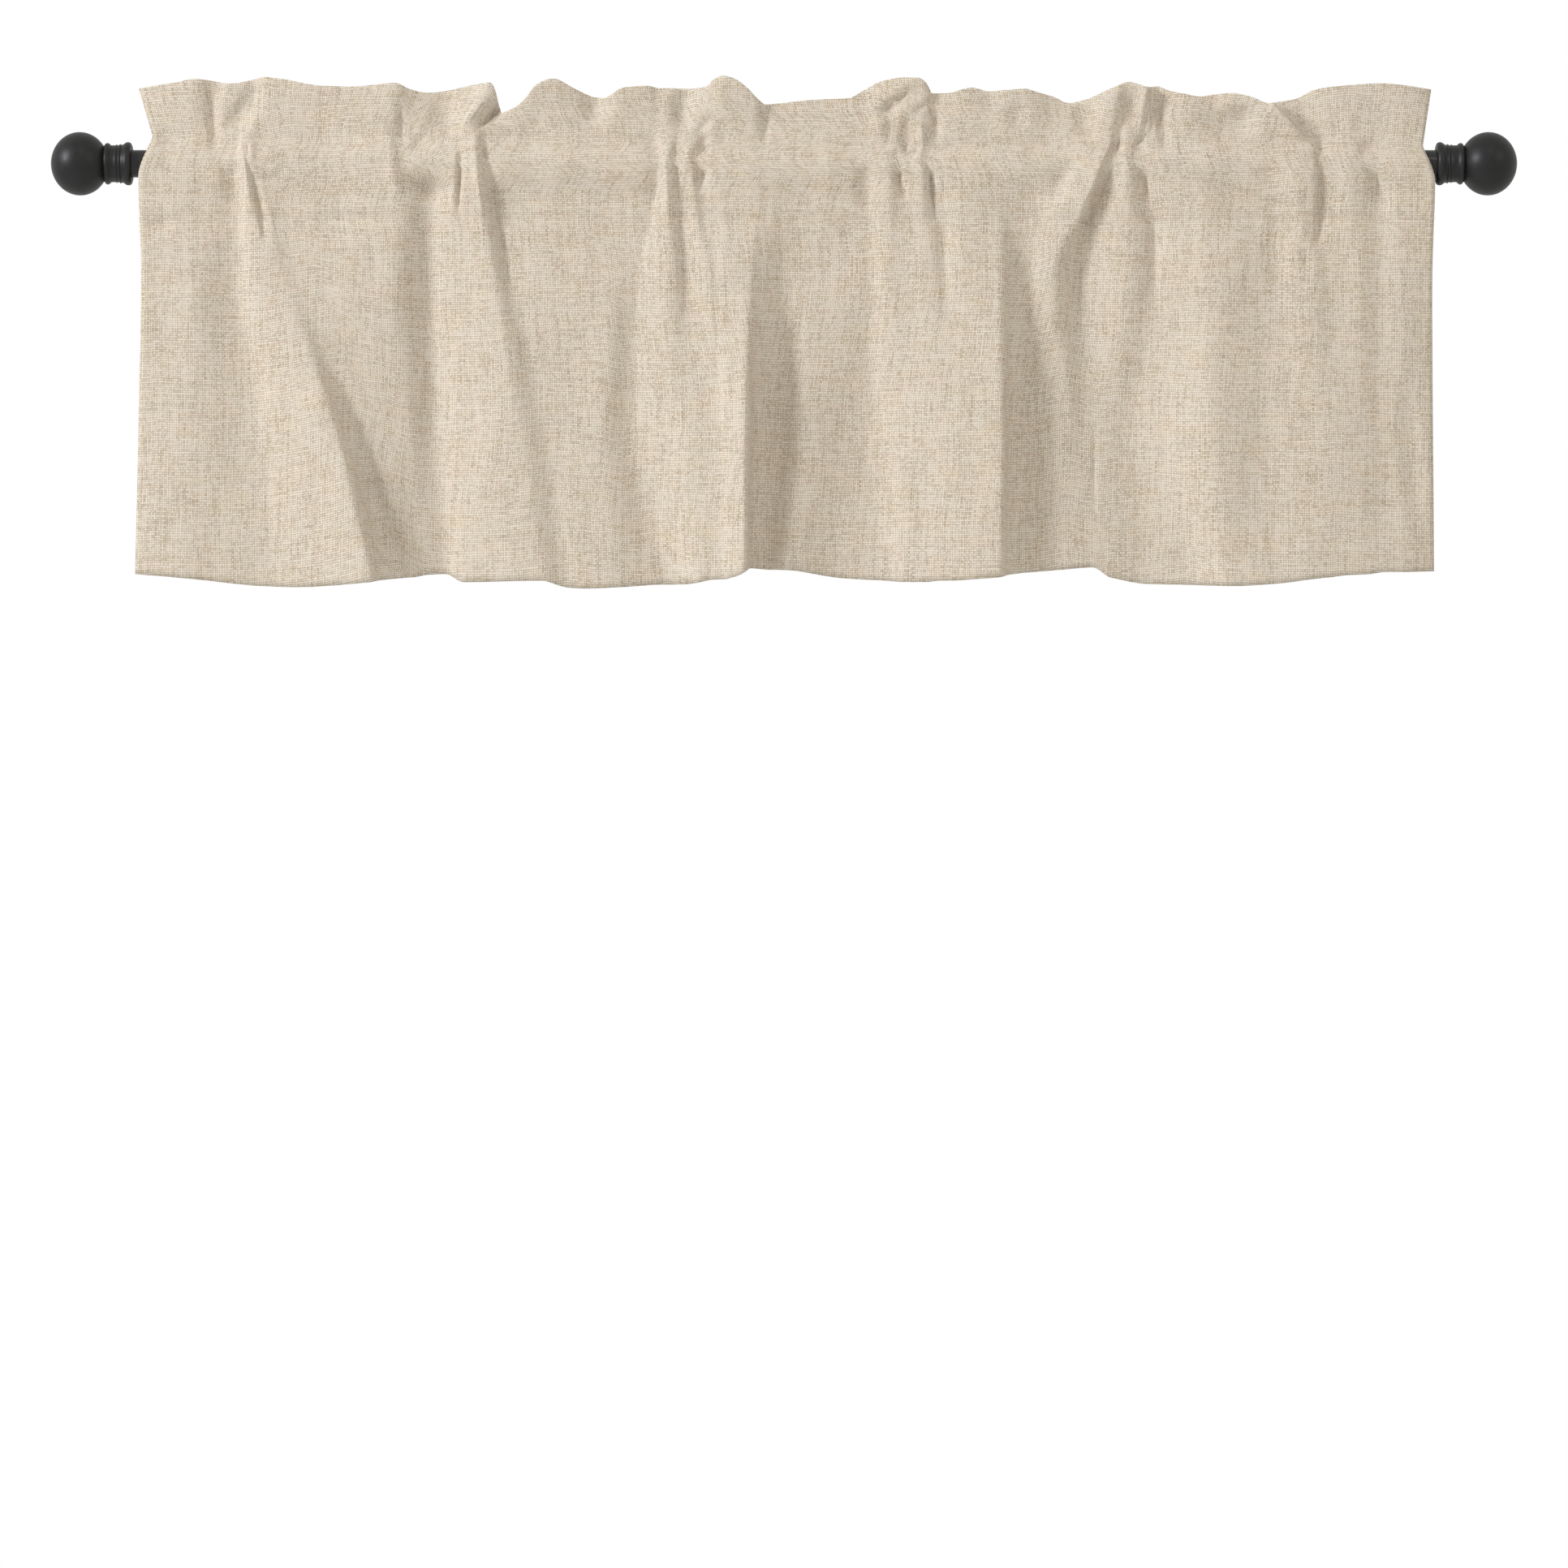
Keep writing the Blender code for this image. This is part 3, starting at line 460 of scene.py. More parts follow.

# %% [markdown]
# ## Creases
#
# Folds are the large forms. What makes cloth look like cloth are the small ones: the sharp side of a gather,
# a dart that closes under a seam, a dent where the header was pressed. Each is one stroke: a soft ridge, or a
# trough where its height is negative, from its top to its foot, with its own width on either side. A narrow
# side makes an edge that catches the light. The height is greatest at peak, counted from the top as a share
# of the length, and bow bends the stroke sideways. Where a row leaves them out, the peak is half way and the
# stroke is straight.

# %% Table of creases
Crease = namedtuple("Crease", "x_top z_top x_foot z_foot left right height peak bow", defaults=(0.5, 0))
CREASES = [Crease(*row) for row in (
    # left end and first ridge
    (-530, 70, -525, 4, 8, 10, -4.5), (-484, 74, -517, 24, 12, 22, -4.0),
    (-484, 72, -492, 40, 8, 8, -2.0, 0.4), (-521, 62, -524, 30, 8, 8, 2.0),
    (-511, 24, -507, -56, 18, 13, -5.0, 0.4), (-495, 17, -494, 5, 2.5, 3, -1.6),
    (-502, 28, -489, -66, 6, 3, 2.0), (-495, 4, -478, -78, 4, 10, -6.0, 0.45),
    (-495, -7, -459, -2, 7, 4, -2.8, 0.6, -10), (-487, 6, -464, 7, 11, 11, 2.6),
    (-596, -60, -558, -58, 6, 10, -2.6), (-568, 40, -572, -20, 14, 14, -1.0),
    (-446, -50, -364, -52, 11, 10, -2.2), (-430, -170, -362, -394, 14, 20, -8.0, 0.7, 6),
    # second edge and the valley beside it
    (-356, 62, -354, 12, 3.5, 6, -3.5), (-366, 44, -354, -38, 9, 3, 3.0, 0.6, -1),
    (-354, -14, -304, -32, 14, 13, -9.0), (-350, 2, -322, -4, 4, 5, 2.0),
    (-329, -26, -325, -300, 22, 10, -3.6, 0.3), (-345, 42, -330, 20, 6, 5, 1.8),
    (-330, 32, -344, 8, 4, 6, -2.6), (-314, 62, -308, 20, 24, 14, -5.0), (-314, 44, -322, 4, 5, 7, 1.8),
    (-318, -8, -314, -70, 5, 4, 1.6, 0.4),
    # flap and bright ridge beside the notch
    (-268, 66, -300, 29, 6, 2, 2.2), (-259, 53, -286, 28, 14, 2.5, -9.0, 0.45),
    (-298, 14, -301, -52, 5, 4, -6.5, 0.4), (-287, 30, -277, -66, 5, 3, 3.0),
    (-281, 26, -275, 0, 2.5, 7, -3.5, 0.6), (-275, 8, -256, -116, 9, 7, -6.0, 0.5, -1),
    (-176, 62, -170, 36, 14, 14, -3.5), (-230, 46, -226, 24, 12, 12, -1.2), (-158, 20, -150, 4, 7, 8, -1.6),
    # pair of darts
    (-93, 66, -92, 26, 20, 8, -4.5), (-119, 34, -116, -40, 15, 4, -4.0),
    (-110, 24, -106, -90, 6, 3, 2.8, 0.4), (-102, 22, -99, -36, 3, 6, -4.5),
    (-99, -14, -90, -162, 6, 12, -3.8, 0.35), (-71, 27, -76, -28, 11, 4, -8.0, 0.45),
    (-88, 22, -92, -20, 5, 5, 1.6), (-62, 48, -84, 24, 4, 6, -2.2), (-52, 14, -50, -12, 8, 3, 2.6),
    (-44, -6, -16, -26, 4, 5, 2.4), (-19, 50, -16, 16, 6, 8, -2.2, 0.4),
    (-37, -120, -37, -370, 7, 1.5, 1.0), (-64, -30, -60, -200, 6, 6, -1.6, 0.4),
    # gather under the rolled lobe
    (84, 43, 127, 73, 9, 6, -6.5, 0.45), (117, 51, 135, 65, 4, 6, 1.5), (118, 46, 137, 60, 5, 2, -2.4),
    (98, 58, 101, 13, 12, 2, -6.5, 0.6), (102, 42, 102, 12, 2.5, 5, 2.6, 0.6),
    (127, 46, 129, 10, 5, 2, 3.2, 0.6), (139, 50, 140, 20, 7, 7, -3.2), (128, 70, 126, 52, 12, 2, -3.0),
    (114, 44, 115, 16, 8, 8, -2.6), (111, 18, 118, 2, 4, 3, -6.5, 0.55),
    (124, 16, 118, 3, 3, 4, -5.0, 0.55), (105, 14, 110, -36, 9, 2.5, -7.0, 0.45),
    (133, 14, 139, -62, 6, 3, -9.0, 0.4), (145, -44, 150, -152, 8, 8, -3.4, 0.35),
    (161, 19, 142, 9, 2.5, 3, -2.2), (76, 6, 79, -54, 17, 7, -5.0), (42, 14, 40, -34, 7, 7, 1.2),
    (214, 56, 218, 28, 18, 10, -3.5), (226, 50, 230, 24, 9, 9, 1.2),
    # slanting fold and the wedge
    (281, 60, 283, 18, 22, 8, -6.5), (292, 52, 295, 24, 6, 6, 1.6), (320, 66, 324, 28, 20, 8, -7.5, 0.45),
    (335, 68, 336, 26, 5, 2, 3.4, 0.5, 2), (345, 68, 354, 4, 8, 6, -6.0, 0.45),
    (337, 28, 321, 13, 2, 3, -3.0), (330, 16, 337, -36, 12, 4, -8.0, 0.45),
    (347, 24, 351, -8, 5, 3, 1.6, 0.5, 2), (347, 23, 353, -4, 2, 4, -2.0),
    (342, -36, 344, -142, 9, 10, -3.4, 0.3), (306, 34, 246, -104, 5, 3, 3.0, 0.5, 4),
    (312, 27, 256, -108, 10, 6, -6.5, 0.5, 2), (272, -70, 270, -160, 18, 9, -4.5, 0.4),
    (248, -8, 236, 14, 8, 8, 1.4), (264, 4, 250, -40, 15, 10, -4.0), (287, -244, 288, -326, 2.5, 3, -1.6),
    # right fold and the puckers beyond it
    (444, 55, 482, 12, 18, 3, 4.8, 0.55, 7), (479, 14, 477, -10, 9, 3, 1.8),
    (478, -8, 484, -84, 12, 3, 2.6, 0.4, -3), (492, 40, 491, -84, 4, 8, -5.0, 0.6, 2),
    (477, -64, 484, -112, 4, 4, -3.0), (538, 22, 558, -46, 14, 5, -7.5, 0.45),
    (512, 48, 510, 20, 8, 8, -1.6), (530, 50, 534, 24, 10, 10, -1.4), (418, 54, 424, 20, 48, 24, -7.5),
    (356, -3, 484, -44, 7, 9, -4.0, 0.6, -6), (366, -4, 404, -66, 28, 26, 3.2, 0.6),
    (444, 10, 452, -30, 18, 16, -3.4), (455, -50, 459, -126, 18, 14, -3.0, 0.4),
    # soft dents of the skirt
    (-300, -120, -296, -330, 14, 14, 1.0), (576, -190, 586, -350, 16, 12, -3.2, 0.6),
    (400, -300, 412, -380, 30, 30, -1.2, 0.6), (450, -140, 462, -330, 16, 16, 1.0),
)]
print(len(CREASES), "creases, the highest", max(crease.height for crease in CREASES), "mm")

# %% Raising the creases


def raised(points, strokes):
    """How far the strokes push each point out."""
    total = np.zeros(points.shape[:2])
    x, z = points[..., 0], points[..., 2]
    for stroke in strokes:
        run = np.array([stroke.x_foot - stroke.x_top, stroke.z_foot - stroke.z_top], float)
        length = np.hypot(*run)
        run /= length
        along = ((x - stroke.x_top) * run[0] + (z - stroke.z_top) * run[1]) / length
        inside = np.clip(along, 0, 1)
        bowed = 4 * stroke.bow * inside * (1 - inside)
        aside = (x - stroke.x_top) * -run[1] + (z - stroke.z_top) * run[0] - bowed
        width = np.where(aside < 0, stroke.left, stroke.right)
        across = np.cos(np.clip(aside / width, -1, 1) * math.pi / 2) ** 2
        rise = np.where(along < stroke.peak, along / stroke.peak, (1 - along) / (1 - stroke.peak))
        total += stroke.height * across * np.sin(np.clip(rise, 0, 1) * math.pi / 2)
    return total


creased = raised(front, CREASES)
print("they move the cloth", round(creased.min(), 1), "to", round(creased.max(), 1), "mm")

# %% [markdown]
# ## What stitching and hanging do
#
# Thread pulls the cloth in along a seam, and the cloth puckers on both sides of it, a little differently
# every few millimetres. Away from the seams a woven panel is never quite flat either. Both are sums of a few
# waves whose lengths don't share a common measure, so the eye finds no repeat in them.

# %% Puckers and unevenness
ROD_LEAST_GAP = 0.5      # between the rod and the deepest crease
SEAM_PULL, SEAM_REACH = 0.20, 2.2
PUCKER, PUCKER_REACH = 0.35, 10.0
GATHER, FINE_GATHER, FINE_SHARE = 2.9, 1.9, 0.5          # mm for a radian of the puckers' waves
SWAY, SWAY_LENGTH, FADE_LENGTH, FADE_SHIFT = 2.1, 31, 47, 1.3   # they crowd and spread, and come and go
Wave = namedtuple("Wave", "across down shift height")   # lengths in mm, along the rod and down the cloth
WAVES = [
    Wave(173, 611, 0.4, 0.55), Wave(97, -389, 1.9, 0.40), Wave(61, 283, 4.1, 0.26),
    Wave(-43, 191, 2.6, 0.18), Wave(331, 127, 5.2, 0.30), Wave(211, -83, 3.3, 0.16),
]


def uneven(points):
    x, z = points[..., 0], points[..., 2]
    return sum(wave.height * np.sin(2 * math.pi * (x / wave.across + z / wave.down) + wave.shift)
               for wave in WAVES)


def seam_pucker(points, seam_heights):
    x, away = points[..., 0], points[..., 2] - seam_heights
    gather = np.sin(x / GATHER + SWAY * np.sin(x / SWAY_LENGTH)) * np.sin(x / FADE_LENGTH + FADE_SHIFT)
    gather += FINE_SHARE * np.sin(x / FINE_GATHER)
    pull = -SEAM_PULL * np.exp(-(away / SEAM_REACH) ** 2)
    return pull + PUCKER * gather * np.exp(-(away / PUCKER_REACH) ** 2)


def outside_rod(points):
    """The least depth that keeps the cloth off the rod. Above and below the rod there is no such limit."""
    radius = ROD_RADIUS + ROD_LEAST_GAP + THICKNESS / 2
    beside = radius ** 2 - points[..., 2] ** 2
    return np.where(beside > 0, np.sqrt(np.maximum(beside, 0)), -np.inf)


front[..., 1] += creased + uneven(front)
front[..., 1] += seam_pucker(front, np.full(len(places), LOWER_SEAM)) + seam_pucker(front, seam_line[:, 2])
front[..., 1] = np.maximum(front[..., 1], outside_rod(front))
least, most = front[..., 1].min(), front[..., 1].max()
print("the front stands", round(least, 1), "to", round(most, 1), "mm from the axis")

# %% [markdown]
# ## One sheet from cut edge to cut edge
#
# The real panel is one length of cloth, so the model is one grid too. It starts at the cut edge behind the
# hem, goes down and round the hem's fold, up the front, over the crown of the header, down its back, round
# the back of the rod, and ends just under the lower seam.

# %% The hem
LAYER = 0.9              # from the middle of one layer to the middle of the next
HEM_BAND = 38.0
HEM_BACK = (1.0, 0.75, 0.5, 0.25, 0.06)   # places of the hem's back rows, as shares of its band
HEM_FRONT_ROWS = 12      # front rows from the hem up that surely reach past its band
HEM_BULGE, TURN_ROWS = -0.6, 2


def behind(face, distance):
    """Each point of a layer moved back along the layer's normal."""
    across, up = np.gradient(face, axis=1), np.gradient(face, axis=0)
    normal = np.cross(across, up)
    return face + normal / np.linalg.norm(normal, axis=2, keepdims=True) * np.reshape(distance, (-1, 1, 1))


def fold_round(start, end, bulge, steps):
    """Rows of half a turn from one line of points to another. It bulges up, or down below zero."""
    middle, reach = (start + end) / 2, (start - end) / 2
    turns = np.linspace(0, math.pi, steps + 2)[1:-1]
    return [middle + reach * math.cos(turn) + np.array([0, 0, bulge]) * math.sin(turn) for turn in turns]


def hem_back():
    band = front[:HEM_FRONT_ROWS]
    turned = behind(band, [LAYER] * len(band))
    height = band[..., 2] - band[0, :, 2]
    rows = []
    for share in HEM_BACK:
        want = share * HEM_BAND
        rows.append(np.stack([[np.interp(want, height[:, c], turned[:, c, k]) for c in range(len(places))]
                              for k in range(3)], 1))
    return rows


hem_rows = hem_back()
hem_turn = fold_round(hem_rows[-1], front[0], HEM_BULGE, TURN_ROWS)
FIRST_FRONT_ROW = len(hem_rows) + len(hem_turn)
print("hem:", FIRST_FRONT_ROW, "rows before the front")

# %% The crown and the back of the header
HEADER_GAP = 1.6         # how far the two layers of the header part, half way up
HEADER_BACK_ROWS = 6
CROWN_BULGE = 0.9


def header_back():
    face = front[UPPER_SEAM_ROW:]
    swell = HEADER_GAP * np.sin(np.linspace(0, math.pi, len(face)))
    rows = behind(face, LAYER + swell)[::-1]
    keep = np.unique(np.linspace(1, len(face) - 1, HEADER_BACK_ROWS).round().astype(int))
    return [rows[0]] + [rows[k] for k in keep]


back_of_header = header_back()
crown = fold_round(front[-1], back_of_header[0], CROWN_BULGE, TURN_ROWS)
print("header:", len(crown) + len(back_of_header), "rows over the crown and down its back")

# %% [markdown]
# ## The back of the pocket
#
# Behind the rod the cloth is pulled tight, so seen from the end it is a straight line from the upper seam, an
# arc round the rod and a straight line to the lower seam. It gathers less than the front.

# %% The back of the pocket
BACK_ROWS = 14
BACK_END, END_AWAY = 4.0, 0.4   # cloth left below the lower seam, and how far it stands off
BACK_PUCKER = 0.45       # the back of the pocket gathers this much as far as the front
LEAST_RISE, HAIR = 0.1, 0.01    # the least height to divide by, and the least distance below the seam


def taut_depth(heights, low, high):
    """Depth of a layer pulled tight from the point low, round the front of the rod, to the point high."""
    low_angle = np.arctan2(low[1], low[0]) + np.arccos(CREST / np.hypot(*low))
    high_angle = np.arctan2(high[1], high[0]) - np.arccos(np.minimum(CREST / np.hypot(*high), 1))
    meet, leave = CREST * np.sin(low_angle), CREST * np.sin(high_angle)
    below = low[0] + (CREST * np.cos(low_angle) - low[0]) * (heights - low[1]) / (meet - low[1])
    high_depth = CREST * np.cos(high_angle)
    above = high_depth + (high[0] - high_depth) * (heights - leave) / np.maximum(high[1] - leave, LEAST_RISE)
    around = np.sqrt(np.maximum(CREST ** 2 - heights ** 2, 0))
    return np.where(heights < meet, below, np.where(heights < leave, around, above))


def pocket_back(top_line):
    low, high = front[LOWER_SEAM_ROW], top_line
    mirror = np.array([[-1], [1]])
    low_point = low[:, 1:].T * mirror + np.array([[LAYER], [0]])
    high_point = high[:, 1:].T * mirror
    rows = []
    for share in np.linspace(0, 1, BACK_ROWS + 1)[1:]:
        height = high[:, 2] + share * (LOWER_SEAM - high[:, 2])
        x, fold = cloth_row(UPPER_SEAM + share * (LOWER_SEAM - UPPER_SEAM), places)
        taut = taut_depth(np.minimum(height, high[:, 2] - HAIR), low_point, high_point)
        pucker = BACK_PUCKER * np.maximum(fold - taut, 0) * math.sin(math.pi * share)
        rows.append(np.stack([x, -(taut + pucker), height], 1))
    rows[-1][:, 1] = low[:, 1] - LAYER
    return rows + [rows[-1] + np.array([0, -END_AWAY, -BACK_END])]


back_of_pocket = pocket_back(back_of_header[-1])
sheet = np.array(hem_rows + hem_turn + list(front) + crown + back_of_header + back_of_pocket)
print("sheet:", sheet.shape[0], "rows,", sheet.shape[0] * sheet.shape[1], "points")

# %% [markdown]
# ## Mesh, thread directions and thickness
#
# The weave follows the cloth and not the room, so every point gets its place on the flat panel as a UV
# coordinate, in metres: how far it lies along its row, and how far along its column. Solidify then gives the
# sheet its thickness. It is applied at once, so that later steps read the finished mesh.

# %% The panel as a mesh
FLAT_WIDTH, FLAT_LENGTH = 1372.0, 635.0


def flat_places(grid):
    """Where each point lies on the flat panel, in metres."""
    across = np.linalg.norm(np.diff(grid, axis=1), axis=2)
    u = np.concatenate([np.zeros((len(grid), 1)), np.cumsum(across, axis=1)], axis=1)
    u *= FLAT_WIDTH / u[:, -1:]
    down = np.linalg.norm(np.diff(grid, axis=0), axis=2)
    v = np.concatenate([np.zeros((1, grid.shape[1])), np.cumsum(down, axis=0)])
    return np.stack([u, v - v[FIRST_FRONT_ROW + LOWER_SEAM_ROW] + FLAT_LENGTH / 2], 2) * MM


def to_room(points):
    """Millimetres with a depth become metres in the frame: the room is on the -Y side."""
    return np.stack([points[..., 0], -points[..., 1], points[..., 2]], -1) * MM


def grid_mesh(name, grid):
    rows, columns = grid.shape[:2]
    corner = np.arange(rows * columns).reshape(rows, columns)
    faces = np.stack([corner[:-1, :-1], corner[:-1, 1:], corner[1:, 1:], corner[1:, :-1]], 2).reshape(-1, 4)
    mesh = bpy.data.meshes.new(name)
    mesh.from_pydata(to_room(grid).reshape(-1, 3).tolist(), [], faces.tolist())
    flat = flat_places(grid).reshape(-1, 2)
    layer = mesh.uv_layers.new(name="flat panel")
    layer.data.foreach_set("uv", flat[faces.ravel()].astype(np.float32).ravel())
    mesh.shade_smooth()
    return mesh


def evaluated(made, name):
    """A plain mesh of what an object's modifiers make, in place of the object."""
    mesh = bpy.data.meshes.new_from_object(made.evaluated_get(bpy.context.evaluated_depsgraph_get()))
    mesh.name = name
    bpy.data.objects.remove(made)
    return add_object(name, mesh)


def make_panel():
    thin = add_object("sheet", grid_mesh("sheet", sheet))
    solidify = thin.modifiers.new("thickness", "SOLIDIFY")
    solidify.thickness = THICKNESS * MM
    solidify.offset = 0
    return evaluated(thin, "valance_panel")


def print_triangles(piece):
    piece.data.calc_loop_triangles()
    print(piece.name, len(piece.data.loop_triangles), "triangles")


panel = make_panel()
print_triangles(panel)

# %% [markdown]
# ## A short way to write materials
#
# A material is a graph of nodes, and code that makes one is mostly the joining of sockets. This helper takes
# sockets and plain numbers alike, so that the graphs below read like formulas.

# %% Helper for shader nodes


class NodeTable:
    """A short way to add shader nodes and join them."""

    def __init__(self, material):
        material.use_nodes = True
        self.nodes, self.links = material.node_tree.nodes, material.node_tree.links
        self.shader = self.nodes["Principled BSDF"]

    def add(self, kind, *sources, **settings):
        node = self.nodes.new("ShaderNode" + kind)
        for key, value in settings.items():
            setattr(node, key, value)
        for socket, source in zip(node.inputs, sources):
            self.feed(socket, source)
        return node

    def feed(self, socket, source):
        if isinstance(source, bpy.types.NodeSocket):
            self.links.new(source, socket)
        elif source is not None:
            socket.default_value = source

    def surface(self, inputs):
        """Set or join the shader's own sockets, by their names."""
        for name, source in inputs.items():
            self.feed(self.shader.inputs[name], source)

    def math(self, operation, *sources):
        return self.add("Math", *sources, operation=operation).outputs[0]

    def times(self, *sources):
        return self.math("MULTIPLY", *sources)

    def plus(self, *sources):
        return self.math("ADD", *sources)

    def vector(self, *sources):
        return self.add("CombineXYZ", *sources).outputs[0]

    def span(self, source, low, high, new_low=0.0, new_high=1.0):
        """What lies from low to high, stretched to a new span and held inside it."""
        return self.add("MapRange", source, low, high, new_low, new_high).outputs[0]

    def noise(self, vector, scale, detail=2.0, roughness=0.5):
        node = self.add("TexNoise", noise_dimensions="3D")
        self.feed(node.inputs["Vector"], vector)
        for name, value in (("Scale", scale), ("Detail", detail), ("Roughness", roughness)):
            node.inputs[name].default_value = value
        return node.outputs["Fac"]

    def blend(self, factor, first, second, mode="MIX"):
        node = self.add("Mix", data_type="RGBA", blend_type=mode)
        for socket, source in ((node.inputs[0], factor), (node.inputs[6], first), (node.inputs[7], second)):
            self.feed(socket, source)
        return node.outputs[2]

    def bump(self, height, strength, distance):
        """A fine relief, so many millimetres high."""
        node = self.add("Bump")
        for name, source in (("Strength", strength), ("Distance", distance * MM), ("Height", height)):
            self.feed(node.inputs[name], source)
        return node.outputs["Normal"]


print("helper methods:", [name for name in vars(NodeTable) if not name.startswith("_")])

# %% [markdown]
# ## The weave
#
# The cloth is a plain weave of uneven yarns, called slub: threads are thick and thin, each has a tone of its
# own that changes along its length, and each crossing has a little grain. The material counts threads from
# the UV map, lets every thread pick its tone from noise stretched along it, and shows the warp or the weft
# where that one lies on top. The rounded tops of the threads are painted paler, as painted light, and the
# gaps between them are painted dark, as painted shade. The same heights drive a small bump. Weaving in
# geometry would take millions of faces for the same look.

# %% Values of the weave
WARP_PITCH, WEFT_PITCH = 1.7, 2.1            # mm from thread to thread: upright threads, level threads
WANDER, WANDER_LENGTH = 0.40, 32             # how many threads a thread strays sideways, over how many mm
SLUB = 1.2                                   # how far neighbouring threads differ in thickness
WARP_SLUB, WEFT_SLUB = 40.0, 22.0            # mm over which a thread changes its tone
THREAD_STEP = 7.618                          # how far apart in the noise two threads read their tone
OVERLAP = 0.35                               # how softly warp and weft change places
ROUNDNESS = 0.6                              # the power that gives a thread its round top
WEFT_DIP, WARP_DIP, LATTICE = 0.65, 0.9, 0.7  # how low the cloth lies between threads, and the share of that
WARP_CONTRAST = 1.3                          # upright threads differ this much more than level ones
# The first of these is painted light: it makes the rounded tops of the threads paler.
TOP_PAINTED_LIGHT, TONE, GRAIN, STREAKS = 0.26, 0.70, 0.20, 0.08   # what makes a spot pale, and how much
PALENESS, TAN_AT, CREAM_AT = 0.245, 0.60, 0.96
# The third colour is painted shade: the dark put between the threads, where they dip.
CREAM, TAN, GAP_SHADE_COLOR = (0.700, 0.624, 0.528, 1), (0.398, 0.327, 0.231, 1), (0.190, 0.142, 0.085, 1)
GAP_SHADE_DEPTH = 1.8                             # how much of the gap's colour shows between the threads
PINK, STRAW = (1.01, 0.982, 0.958, 1), (1.0, 0.994, 0.955, 1)
PATCH, PATCH_FROM, PATCH_TO = (24, 12), 0.45, 0.70   # mm, and the noise from which a patch starts and is full
TONE_RELIEF = 0.8                            # pale threads are thick ones and stand out
print("threads:", round(FLAT_WIDTH / WARP_PITCH), "upright and", round(FLAT_LENGTH / WEFT_PITCH), "level")

# %% Linen-look material


